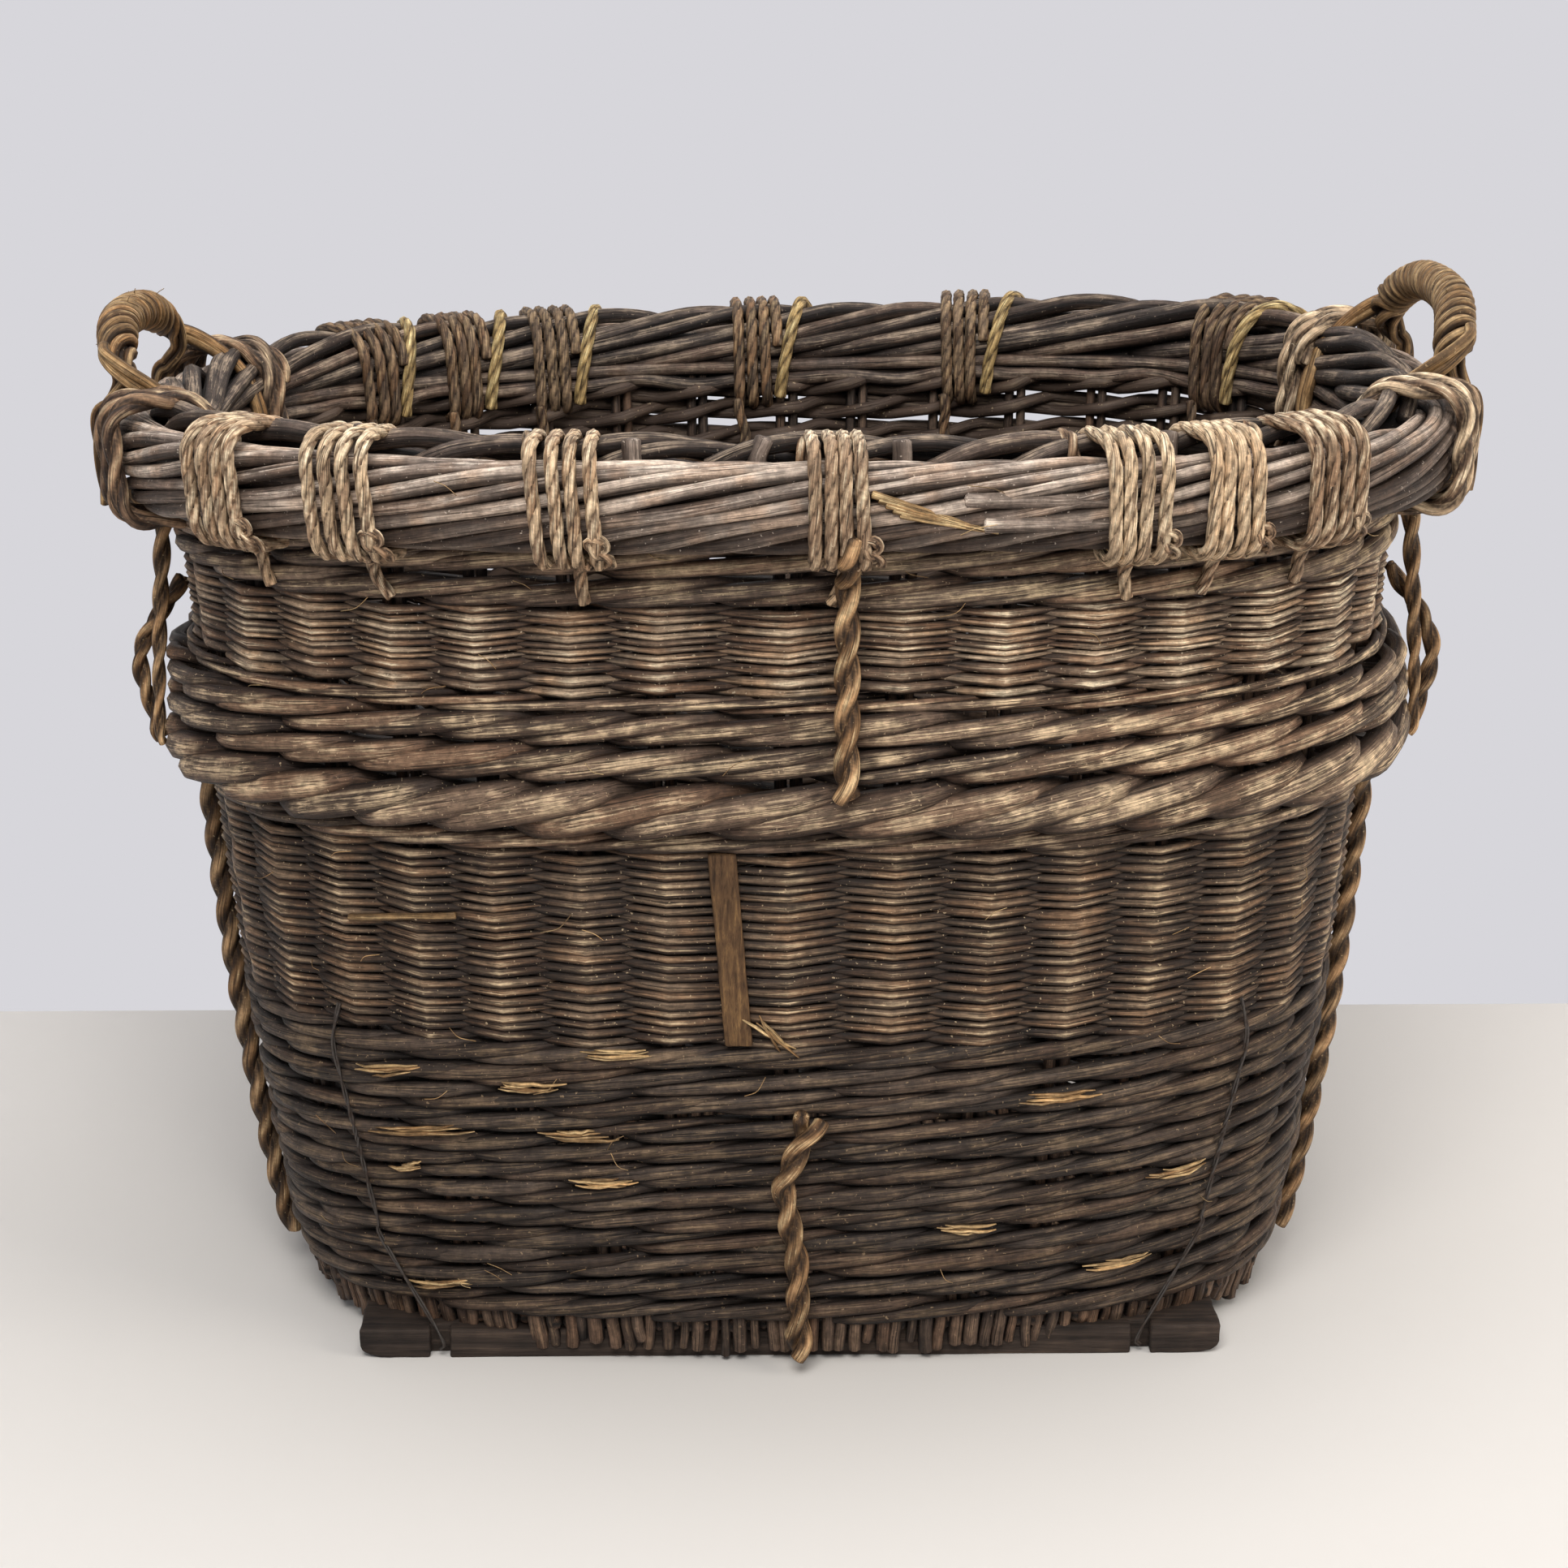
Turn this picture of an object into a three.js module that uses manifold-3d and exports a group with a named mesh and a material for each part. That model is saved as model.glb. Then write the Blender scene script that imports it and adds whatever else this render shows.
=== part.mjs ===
// A willow grape harvest basket: a tapered, round-cornered tub of woven bands on two wooden runners.
// Millimetres, +Z up, +X along the basket, origin on the floor under its middle; -Y is the front.
import * as THREE from "three";
import { mergeVertices } from "three/addons/utils/BufferGeometryUtils.js";
import Module from "manifold-3d";

const wasm = await Module();
wasm.setup();

// Clearances
const fit = 0.3; // between pieces that lie on each other
const pressedFit = 0.6; // under what is pressed on the wall
const handleFit = -0.9; // the ridges of both leave more
const windingFit = 0.7; // under what goes round the rim

// Heights of the pieces, from the floor up
const runnerHeight = 20;
const matThickness = 11;
const lowerWaleHeight = 200;
const lowerPanelHeight = 129;
const middleWaleHeight = 100;
const upperPanelHeight = 55;
const topWaleHeight = 36;
const rimHeight = 62;

// The wall's outer face: half its length and width at the foot and the mouth, and how far it bellies out between
const footHalfLength = 331;
const footHalfWidth = 218;
const mouthHalfLength = 399;
const mouthHalfWidth = 298;
const lengthBelly = 12;
const widthBelly = 6;
const bellySkew = 0.7; // under 1 puts the belly low
const cornerPowerAtFloor = 3.0; // 2 is an ellipse, higher is squarer
const cornerPowerAtRim = 2.8;
const rimTwist = 13; // how far the rim has settled at one back corner and risen at the other

// The weave
const stakes = 38;
const stakesAside = { 24: -6, 25: -12, 26: -14, 27: -20, 28: -8, 29: -7 }; // of the front, along the wall
const wallThickness = 18;
const panelInset = 2;
const ribDepth = 7;
const walePit = 4; // how much deeper a wale's grooves are between the stakes
const lowerWaleCourses = 12;
const lowerWaleGroove = 4;
const middleWaleRods = [6.6, 17, 11.6, 10, 4.8]; // from its bottom course up; a course is two rods high
const middleWaleProud = [3, 17, 13, 10, 5];
const middleWaleGroove = 5;
const middleWaleEndBulge = 10;
const topWaleCourses = 2;
const topWaleProud = 3;
const topWaleGroove = 3;
const matSetback = 2;

// Rim: a plaited border on top of the wall and a bundle of rods outside it
const borderInside = 20; // how far inside the wall's outer face the border reaches
const borderOutside = 6;
const bundleWidth = 30;
const bundleSideRods = 3;
const bundleFurrow = 3;
const rimRound = 13;

// Windings of willow round the rim
const lashingRod = 8.2;
const lashingPitch = 9;
const lashingTurns = 3;
const frontLashingsAt = [-0.79, -0.62, -0.32, 0.06, 0.47, 0.6, 0.74]; // shares of the mouth's half length
const backLashingsAt = [-0.76, -0.6, -0.43, -0.05, 0.34, 0.81];
const wrapTurns = 2;
const wrapGap = 3; // between a handle's foot and the winding beside it

// Handles
const handleRise = 57; // above the rim
const handleSpread = 100; // from the middle of the basket to each foot
const handleRope = 27;
const handleFoot = 13; // its thickness where it hugs the rim
const handleTaper = 34; // how far above the rim it has its full thickness
const handleWaistIn = 11; // how far in from the rim's outside it steps on the rim
const handleCrownIn = 5; // how far in its crown is
const handleFootDrop = 4; // below the rim
const handleStrands = 5;
const handleTurns = 2;
const strandRidge = 0.07; // of the rope's radius

// Straps and wires
const strapRope = 16;
const upperStrapAt = 31; // from the middle, on the front and the back
const upperStrapFoot = 75; // under the middle wale's top
const lowerStrapKnots = [[12, 184], [-6, 137], [3, 83], [5, 10]]; // distance from the middle, height
const loopRope = 11;
const loopTop = 32; // above the middle wale's top
const loopFoot = 75; // below it
const loopBulge = 12;
const loopAt = -70; // from the middle of an end, to the front
const strapSpacing = 2; // sideways, between straps that pass each other
const pressedEvery = 2; // points along what is pressed on the wall
const pressedBend = 0.15; // a smaller bend than this stays straight
const wireThickness = 2.4;
const wireKnots = [[57, 245], [62, 215], [49, 150], [34, 70]]; // distance beyond its notch, height

// Runners
const runnerLength = 560;
const runnerWidth = 64;
const runnerSetback = 14; // behind the wall's foot
const runnerTipRise = 8; // the tip is this much above the floor
const runnerTipLength = 24;
const runnerNotchWidth = 13;
const runnerNotchDepth = 9;
const runnerNotchInset = 52; // from the runner's end

// The bare stake that mends the front panel
const mendStakeWidth = 17;
const mendStakeThickness = 7;
const mendStakeTopAt = -43;
const mendStakeFootAt = -33;
const mendStakeSunk = 3; // into the furrow between two ribs of the panel

// Levels of the pieces' bottoms
const level = { mat: runnerHeight + fit };
level.lowerWale = level.mat + matThickness + fit;
level.lowerPanel = level.lowerWale + lowerWaleHeight + fit;
level.middleWale = level.lowerPanel + lowerPanelHeight + fit;
level.upperPanel = level.middleWale + middleWaleHeight + fit;
level.topWale = level.upperPanel + upperPanelHeight + fit;
level.rim = level.topWale + topWaleHeight + fit;
level.top = level.rim + rimHeight;

// Half the wall's length or width at a height.
function tapered(foot, mouth, belly) {
  return (z) => {
    const share = THREE.MathUtils.clamp((z - level.mat) / (level.top - level.mat), 0, 1);
    const low = share ** bellySkew;
    return THREE.MathUtils.lerp(foot, mouth, share) + belly * 4 * low * (1 - low);
  };
}

const halfLength = tapered(footHalfLength, mouthHalfLength, lengthBelly);
const halfWidth = tapered(footHalfWidth, mouthHalfWidth, widthBelly);
const cornerPower = (z) => THREE.MathUtils.lerp(cornerPowerAtFloor, cornerPowerAtRim, z / level.top);
const signedPower = (value, power) => Math.sign(value) * Math.abs(value) ** power;

// The wall's outer face at a height: a point and its outward direction, for an angle round the basket.
function outline(angle, z) {
  const n = cornerPower(z);
  const a = halfLength(z);
  const b = halfWidth(z);
  const c = Math.cos(angle);
  const s = Math.sin(angle);
  const reach = (Math.abs(c) ** n + Math.abs(s) ** n) ** (-1 / n);
  const x = a * reach * c;
  const y = b * reach * s;
  const out = new THREE.Vector2(signedPower(x / a, n - 1) / a, signedPower(y / b, n - 1) / b).normalize();
  return { x, y, out };
}

// Places round the basket count from 0 to 1, from +X by +Y, at equal steps of length.
const outlineSteps = 2000;
const lengthRound = [0];
for (let i = 1; i <= outlineSteps; i++) {
  const before = outline(((i - 1) / outlineSteps) * 2 * Math.PI, level.middleWale);
  const here = outline((i / outlineSteps) * 2 * Math.PI, level.middleWale);
  lengthRound.push(lengthRound[i - 1] + Math.hypot(here.x - before.x, here.y - before.y));
}
const girth = lengthRound[outlineSteps];

function angleOfPlace(place) {
  const wanted = (place - Math.floor(place)) * girth;
  const i = Math.max(lengthRound.findIndex((length) => length >= wanted), 1);
  const part = (wanted - lengthRound[i - 1]) / (lengthRound[i] - lengthRound[i - 1]);
  return ((i - 1 + part) / outlineSteps) * 2 * Math.PI;
}

function placeOfAngle(angle) {
  const turn = angle / (2 * Math.PI);
  const step = (turn - Math.floor(turn)) * outlineSteps;
  const i = Math.min(Math.floor(step), outlineSteps - 1);
  return THREE.MathUtils.lerp(lengthRound[i], lengthRound[i + 1], step - i) / girth;
}

// The place on the front (-1) or back (1) wall at a given x, and on the left (-1) or right (1) end at a given y.
const acrossFrom = (share, n) => (1 - Math.abs(share) ** n) ** (1 / n);

function placeAtX(x, side, z) {
  const share = x / halfLength(z);
  return placeOfAngle(Math.atan2(side * acrossFrom(share, cornerPower(z)), share));
}

function placeAtY(y, side, z) {
  const share = y / halfWidth(z);
  return placeOfAngle(Math.atan2(share, side * acrossFrom(share, cornerPower(z))));
}

// A point at a place round the basket and a height, so far outside the wall's face. The old rim isn't level.
function wallPoint(place, z, outside) {
  const at = outline(angleOfPlace(place), z);
  const x = at.x + at.out.x * outside;
  const y = at.y + at.out.y * outside;
  const lean = (x / mouthHalfLength) * (0.5 + (0.5 * y) / mouthHalfWidth);
  return new THREE.Vector3(x, y, z + rimTwist * lean * (z / level.top) ** 2);
}

// Moves every vertex by a rule and keeps only the shape.
function reshape(geometry, rule) {
  const bare = new THREE.BufferGeometry();
  const old = geometry.getAttribute("position");
  const place = new THREE.BufferAttribute(new Float32Array(old.count * 3), 3);
  const at = new THREE.Vector3();
  for (let i = 0; i < old.count; i++) place.setXYZ(i, ...rule(at.fromBufferAttribute(old, i)).toArray());
  bare.setAttribute("position", place);
  bare.setIndex(geometry.index);
  return mergeVertices(bare, 1e-3);
}

// A band round the basket: a closed profile of [outside, height] points, turned and then fitted to the outline.
// Its steps lie by turns between two stakes and on one.
const bandSteps = 2 * stakes;
const turningRadius = footHalfWidth;
const betweenStakes = (step) => step % 2 === 0;

function placeOfStep(step) {
  const asideOf = (near) => stakesAside[(near - 1) / 2] ?? 0;
  const aside = betweenStakes(step) ? (asideOf(step - 1) + asideOf(step + 1)) / 2 : asideOf(step);
  return step / bandSteps + aside / girth;
}

function band(profile, swell = () => 0) {
  const points = [...profile, profile[0]].map(([outside, z]) => new THREE.Vector2(turningRadius + outside, z));
  return reshape(new THREE.LatheGeometry(points, bandSteps), (at) => {
    const turn = Math.atan2(at.x, at.z) / (2 * Math.PI);
    const step = (Math.round(turn * bandSteps) + bandSteps) % bandSteps;
    const outside = Math.hypot(at.x, at.z) - turningRadius;
    const skin = outside > -wallThickness / 2;
    return wallPoint(placeOfStep(step), at.y, outside + (skin ? swell(step, outside, at.y) : 0));
  });
}

function wallProfile(outer) {
  return [[-wallThickness, outer[0][1]], ...outer, [-wallThickness, outer[outer.length - 1][1]]];
}

// Rounded courses of rods, one on the other, whose crests stand out by a rule for each height. The rods pass each
// other between the stakes, which deepens the grooves there.
function wale(from, heights, crest, groove, swell = () => 0) {
  const outer = [[crest(from) - groove, from]];
  let z = from;
  for (const height of heights) {
    outer.push([crest(z + height / 2), z + height / 2]);
    z += height;
    outer.push([crest(z) - groove, z]);
  }
  return band(wallProfile(outer), (step, outside, height) => {
    const inGroove = outside < crest(height) - groove / 2;
    return swell(step) - (inGroove && betweenStakes(step) ? walePit : 0);
  });
}

function lowerWale() {
  const heights = Array(lowerWaleCourses).fill(lowerWaleHeight / lowerWaleCourses);
  return wale(level.lowerWale, heights, () => 0, lowerWaleGroove);
}

// A panel's weavers stand out over each stake.
function panel(bottom, height) {
  const outer = [bottom, bottom + height / 2, bottom + height].map((z) => [-panelInset, z]);
  return band(wallProfile(outer), (step) => (betweenStakes(step) ? -ribDepth : 0));
}

// The middle wale is thickest at the two ends, where its rods start and cross.
const endBulge = (place) => middleWaleEndBulge * Math.abs(outline(angleOfPlace(place), level.middleWale).out.x) ** 4;
const rodHeight = middleWaleHeight / middleWaleRods.reduce((sum, rod) => sum + rod, 0);
const middleCourses = middleWaleRods.map((rod) => rod * rodHeight);
const middleCrests = middleCourses.map((height, i) => {
  const below = middleCourses.slice(0, i).reduce((sum, course) => sum + course, 0);
  return [level.middleWale + below + height / 2, middleWaleProud[i]];
});

function middleCrest(z) {
  const last = middleCrests.length - 1;
  const next = middleCrests.findIndex(([height]) => height >= z);
  if (next <= 0) return middleCrests[next < 0 ? last : 0][1];
  const [before, after] = [middleCrests[next - 1], middleCrests[next]];
  return THREE.MathUtils.mapLinear(z, before[0], after[0], before[1], after[1]);
}

function middleWale() {
  const swell = (step) => endBulge(placeOfStep(step));
  return wale(level.middleWale, middleCourses, middleCrest, middleWaleGroove, swell);
}

function topWale() {
  const heights = Array(topWaleCourses).fill(topWaleHeight / topWaleCourses);
  return wale(level.topWale, heights, () => topWaleProud, topWaleGroove);
}

// How far a level of the wall stands out, for what is pressed on it.
function wallFace(place, z) {
  if (z < level.lowerPanel) return 0;
  if (z < level.middleWale) return -panelInset;
  if (z < level.upperPanel) return middleCrest(z) + endBulge(place);
  if (z < level.topWale) return -panelInset;
  return topWaleProud;
}

// The whole rim's section, and the same grown by an offset: a box with cut corners, from the inside's foot by the top.
const rimInner = -borderInside;
const rimOuter = borderOutside + fit + bundleWidth;
const cornerTurn = Math.tan(Math.PI / 8);

function rimSection(offset) {
  const cut = rimRound + offset * (1 - cornerTurn);
  const left = rimInner - offset;
  const right = rimOuter + offset;
  const bottom = level.rim - offset;
  const top = level.top + offset;
  return [
    [left, bottom + cut],
    [left, top - cut],
    [left + cut, top],
    [right - cut, top],
    [right, top - cut],
    [right, bottom + cut],
    [right - cut, bottom],
    [left + cut, bottom],
  ];
}

function border() {
  const [foot, shoulder, inside, , , , , under] = rimSection(0);
  return band([foot, under, [borderOutside, level.rim], [borderOutside, level.top], inside, shoulder]);
}

// The bundle's rods show as ridges: one on each cut corner and some down its side.
function rimBundle() {
  const [, , , outsideTop, shoulder, foot, under] = rimSection(0);
  const inner = borderOutside + fit;
  const between = ([x0, z0], [x1, z1], share) => [x0 + (x1 - x0) * share, z0 + (z1 - z0) * share];
  const furrow = ([x, z]) => between([x, z], [inner, (level.rim + level.top) / 2], bundleFurrow / bundleWidth);
  const outer = [furrow(under), between(under, foot, 0.5)];
  for (let i = 0; i < bundleSideRods; i++) {
    outer.push(furrow(between(foot, shoulder, i / bundleSideRods)));
    outer.push(between(foot, shoulder, (i + 0.5) / bundleSideRods));
  }
  outer.push(furrow(shoulder), between(shoulder, outsideTop, 0.5), furrow(outsideTop));
  return band([[inner, level.rim], ...outer, [inner, level.top]]);
}

// The base: a mat of rods whose ends show as a knobbly edge under the wall.
function baseMat() {
  const edge = turningRadius - matSetback;
  const points = [
    [0, level.mat],
    [edge, level.mat],
    [edge, level.mat + matThickness],
    [0, level.mat + matThickness],
  ].map(([radius, z]) => new THREE.Vector2(radius, z));
  return reshape(new THREE.LatheGeometry(points, bandSteps), (at) => {
    const radius = Math.hypot(at.x, at.z);
    if (radius < edge / 2) return new THREE.Vector3(0, 0, at.y);
    const step = Math.round((Math.atan2(at.x, at.z) / (2 * Math.PI)) * bandSteps);
    return wallPoint(step / bandSteps, at.y, step % 2 === 0 ? -matSetback : -2 * matSetback);
  });
}

// A rope or rod through centre points: a capped cylinder bent along them. Its first edge or ridge faces the basket's
// middle, or away from it, where what it lies on is. Strands turn round it as ridges.
function rope(centres, thickness, { sides = 5, away = false, strands = 0, turns = 0, taper = () => 1 } = {}) {
  const steps = centres.length - 1;
  const frames = [];
  let normal = new THREE.Vector3(-centres[0].x, -centres[0].y, 0).multiplyScalar(away ? -1 : 1);
  centres.forEach((centre, i) => {
    const tangent = centres[Math.min(i + 1, steps)].clone().sub(centres[Math.max(i - 1, 0)]).normalize();
    normal = normal.clone().addScaledVector(tangent, -normal.dot(tangent)).normalize();
    frames.push({ normal, side: normal.clone().cross(tangent) });
  });
  return reshape(new THREE.CylinderGeometry(1, 1, 1, sides, steps), (at) => {
    const i = Math.round((0.5 - at.y) * steps);
    const round = Math.atan2(at.x, at.z);
    const ridge = strands ? 1 - strandRidge + strandRidge * Math.cos(strands * round) : 1;
    const radius = (Math.hypot(at.x, at.z) * thickness * taper(centres[i]) * ridge) / 2;
    const angle = round + (turns * 2 * Math.PI * i) / steps;
    return centres[i]
      .clone()
      .addScaledVector(frames[i].normal, radius * Math.cos(angle))
      .addScaledVector(frames[i].side, radius * Math.sin(angle));
  });
}

// The least gap of a winding to itself: from points along its middle, at least half a turn apart.
function leastGap(centres, thickness) {
  const points = new THREE.CurvePath();
  for (let i = 1; i < centres.length; i++) points.add(new THREE.LineCurve3(centres[i - 1], centres[i]));
  const spaced = points.getSpacedPoints(centres.length * 6);
  const apart = Math.round((spaced.length / centres.length) * 4);
  let least = Infinity;
  for (let i = 0; i < spaced.length; i++)
    for (let j = i + apart; j < spaced.length; j++) least = Math.min(least, spaced[i].distanceTo(spaced[j]));
  return least - thickness;
}

// A winding round the whole rim. It starts inside at the rim's foot, and ends outside there.
const windingClear = windingFit + lashingRod / 2;

function advance(place) {
  const inner = rimInner - windingClear;
  const nudge = 1e-4;
  const run = wallPoint(place + nudge, level.rim, inner).distanceTo(wallPoint(place - nudge, level.rim, inner));
  return (lashingPitch * 2 * nudge) / run;
}

function winding(name, place, turns) {
  const corners = rimSection(windingClear);
  const count = turns * corners.length + corners.length - 2;
  const step = advance(place) / corners.length;
  const centres = [];
  for (let i = 0; i < count; i++) {
    const [outside, z] = corners[i % corners.length];
    centres.push(wallPoint(place + (i - (count - 1) / 2) * step, z, outside));
  }
  console.log(`${name}: least gap to itself ${leastGap(centres, lashingRod).toFixed(2)} mm`);
  return rope(centres, lashingRod, { away: true });
}

// What a winding needs through the top of the wall.
function windingSlot(place, turns) {
  const length = (turns + 1) * advance(place) * girth + lashingRod + 2 * windingFit;
  const height = 2 * (lashingRod + 2 * windingFit);
  const depth = 2 * (wallThickness + lashingRod);
  const { out } = outline(angleOfPlace(place), level.rim);
  const middle = wallPoint(place, level.rim, -wallThickness / 2);
  return wasm.Manifold.cube([depth, length, height], true)
    .rotate([0, 0, THREE.MathUtils.radToDeg(Math.atan2(out.y, out.x))])
    .translate(middle.toArray());
}

function solidOf(geometry) {
  const vertProperties = geometry.getAttribute("position").array;
  const triVerts = new Uint32Array(geometry.index.array);
  return new wasm.Manifold(new wasm.Mesh({ numProp: 3, vertProperties, triVerts }));
}

function geometryOf(solid) {
  const { vertProperties, triVerts } = solid.getMesh();
  const geometry = new THREE.BufferGeometry();
  geometry.setAttribute("position", new THREE.BufferAttribute(vertProperties, 3));
  geometry.setIndex(new THREE.BufferAttribute(triVerts, 1));
  return geometry;
}

// Handles: a roped arc whose feet grow thin, step on the rim and hug its outside.
function handle(side) {
  const beside = rimOuter + handleFit + handleFoot / 2;
  const offCorner = (handleFoot / 2 + fit) * Math.SQRT1_2 - rimRound / 2;
  const waist = rimOuter - handleWaistIn;
  const above = rimOuter - handleCrownIn;
  const crown = level.top + handleRise - handleRope / 2;
  const half = [
    [-handleSpread, level.rim - handleFootDrop, beside],
    [-handleSpread, level.top - rimRound, beside],
    [-handleSpread, level.top + offCorner, rimOuter + offCorner],
    [-handleSpread * 0.96, level.top + handleRope / 2, waist],
    [-handleSpread * 0.84, (level.top + 2 * crown) / 3, (waist + above) / 2],
    [-handleSpread * 0.4, crown, above],
  ];
  const knots = [...half, ...half.map(([y, z, outside]) => [-y, z, outside]).reverse()];
  const middle = level.rim;
  const curve = new THREE.CatmullRomCurve3(
    knots.map(([y, z, outside]) => wallPoint(placeAtY(y, side, middle), z, outside)),
  );
  const steps = 32;
  const grown = (z) => THREE.MathUtils.smoothstep(z, level.top, level.top + handleTaper);
  return rope(curve.getSpacedPoints(steps), handleRope, {
    sides: 2 * handleStrands,
    strands: handleStrands,
    turns: handleTurns,
    taper: ({ z }) => THREE.MathUtils.lerp(handleFoot / handleRope, 1, grown(z)),
  });
}

// How far outside the wall the middle of a round strap lies that rolls down its face.
function seatedOutside(place, z, radius) {
  let outside = -wallThickness;
  for (let share = -1; share <= 1; share += 0.125)
    outside = Math.max(outside, wallFace(place, z + share * radius) + radius * Math.sqrt(1 - share * share));
  return outside + pressedFit;
}

// Leaves out the points of a line that lie straight between others.
function thinned(points) {
  const kept = [points[0]];
  const chord = new THREE.Line3();
  const nearest = new THREE.Vector3();
  let from = 0;
  for (let to = 2; to < points.length; to++) {
    chord.set(points[from], points[to]);
    const between = points.slice(from + 1, to);
    if (between.every((point) => chord.closestPointToPoint(point, true, nearest).distanceTo(point) < pressedBend)) continue;
    from = to - 1;
    kept.push(points[from]);
  }
  return [...kept, points[points.length - 1]];
}

// Where a line lies that is pulled tight over humps, at equal steps.
function pulledTight(humps) {
  return humps.map((own, i) => {
    let tight = own;
    for (let j = 0; j < i; j++)
      for (let k = i + 1; k < humps.length; k++)
        tight = Math.max(tight, THREE.MathUtils.mapLinear(i, j, k, humps[j], humps[k]));
    return tight;
  });
}

// A strap pulled tight on the wall between two heights. placeAt gives where it lies at each height.
function strap(placeAt, top, bottom, thickness, bulge = 0) {
  const count = Math.ceil((top - bottom) / pressedEvery);
  const heights = Array.from({ length: count + 1 }, (_, i) => THREE.MathUtils.lerp(top, bottom, i / count));
  const seats = pulledTight(heights.map((z) => seatedOutside(placeAt(z), z, thickness / 2)));
  const centres = heights.map((z, i) => {
    const outside = seats[i] + bulge * Math.sin((Math.PI * i) / count) ** 2;
    return wallPoint(placeAt(z), z, outside);
  });
  return thinned(centres);
}

// A strap on the front or the back wall along [distance from a start, height] knots, from the top down.
function knottedStrap(knots, start, end, side, thickness) {
  const xAt = (z) => {
    const next = THREE.MathUtils.clamp(knots.findIndex(([, height]) => height <= z), 1, knots.length - 1);
    const [before, after] = [knots[next - 1], knots[next]];
    return end * (start + THREE.MathUtils.mapLinear(z, before[1], after[1], before[0], after[0]));
  };
  return strap((z) => placeAtX(xAt(z), side, z), knots[0][1], knots[knots.length - 1][1], thickness);
}

// Runners: a plank with rising, rounded tips and a notch in its outer edge near each end.
function runner(side) {
  const half = runnerLength / 2;
  const foot = half - runnerTipLength;
  const outer = footHalfWidth - runnerSetback;
  const elevation = new THREE.Shape();
  elevation.moveTo(-foot, 0);
  elevation.lineTo(foot, 0);
  elevation.quadraticCurveTo(half, 0, half, runnerTipRise);
  elevation.lineTo(half, runnerHeight);
  elevation.lineTo(-half, runnerHeight);
  elevation.lineTo(-half, runnerTipRise);
  elevation.quadraticCurveTo(-half, 0, -foot, 0);
  const plank = new THREE.ExtrudeGeometry(elevation, { depth: runnerWidth, bevelEnabled: false, curveSegments: 4 });
  plank.rotateX(Math.PI / 2);
  plank.translate(0, side > 0 ? outer : -outer + runnerWidth, 0);
  const bare = new THREE.BufferGeometry();
  bare.setAttribute("position", plank.getAttribute("position"));
  let made = solidOf(mergeVertices(bare, 1e-3));
  for (const end of [-1, 1]) {
    const notch = wasm.Manifold.cube([runnerNotchWidth, 2 * runnerNotchDepth, 3 * runnerHeight], true);
    made = made.subtract(notch.translate([end * (half - runnerNotchInset), side * outer, 0]));
  }
  return geometryOf(made);
}

// A wire from the wall down into its runner's notch.
function wire(side, end) {
  const notchAt = runnerLength / 2 - runnerNotchInset;
  const centres = knottedStrap(wireKnots, notchAt, end, side, wireThickness);
  const y = side * (footHalfWidth - runnerSetback - wireThickness);
  for (const share of [0.75, 0.25]) centres.push(new THREE.Vector3(end * notchAt, y, share * runnerHeight));
  return rope(centres, wireThickness, { sides: 4 });
}

// The mending stake is a flat bar pushed between the two wales over the panel.
function mendStake() {
  const top = level.middleWale - fit;
  const foot = level.lowerPanel + fit;
  const bar = new THREE.BoxGeometry(mendStakeWidth, mendStakeThickness, 1, 2, 1, 3);
  return reshape(bar, (at) => {
    const share = at.z + 0.5;
    const x = at.x + THREE.MathUtils.lerp(mendStakeFootAt, mendStakeTopAt, share);
    const z = THREE.MathUtils.lerp(foot, top, share);
    const outside = -panelInset - mendStakeSunk + fit + mendStakeThickness / 2 - at.y;
    return wallPoint(placeAtX(x, -1, z), z, outside);
  });
}

// Materials
const willow = (color) => new THREE.MeshStandardMaterial({ color, roughness: 0.85, metalness: 0 });
const iron = (color) => new THREE.MeshStandardMaterial({ color, roughness: 0.6, metalness: 0.8 });
const darkWillow = 0x43382f;
const brownWillow = 0x6a5641;
const greyWillow = 0x7b6c5b;
const tanWillow = 0x8d7454;
const yellowWillow = 0xa8854a;
const runnerWood = 0x2e2620;
const greyIron = 0x55504d;

const basket = new THREE.Group();
basket.name = "grape_harvest_basket";

function add(name, geometry, material) {
  const mesh = new THREE.Mesh(geometry, material);
  mesh.name = name;
  basket.add(mesh);
}

add("front_runner", runner(-1), willow(runnerWood));
add("back_runner", runner(1), willow(runnerWood));
add("base_mat", baseMat(), willow(darkWillow));
add("lower_wale", lowerWale(), willow(darkWillow));
add("lower_panel", panel(level.lowerPanel, lowerPanelHeight), willow(brownWillow));
add("middle_wale", middleWale(), willow(brownWillow));
add("upper_panel", panel(level.upperPanel, upperPanelHeight), willow(brownWillow));
add("border", border(), willow(darkWillow));
add("rim_bundle", rimBundle(), willow(greyWillow));

const windings = [];
const ends = { left: -1, right: 1 };
const faces = { front: -1, back: 1 };
for (const [face, shares] of Object.entries({ front: frontLashingsAt, back: backLashingsAt }))
  shares.forEach((share, i) => {
    const place = placeAtX(share * mouthHalfLength, faces[face], level.rim);
    windings.push({ name: `${face}_lashing_${i + 1}`, place, turns: lashingTurns });
  });
for (const [end, endSide] of Object.entries(ends))
  for (const [face, faceSide] of Object.entries(faces)) {
    const wrapLength = (wrapTurns + 1) * lashingPitch + lashingRod;
    const y = handleSpread + handleRope / 2 + wrapGap + wrapLength / 2;
    windings.push({
      name: `${end}_${face}_handle_wrap`,
      place: placeAtY(faceSide * y, endSide, level.rim),
      turns: wrapTurns,
    });
  }
let slotted = solidOf(topWale());
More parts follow.
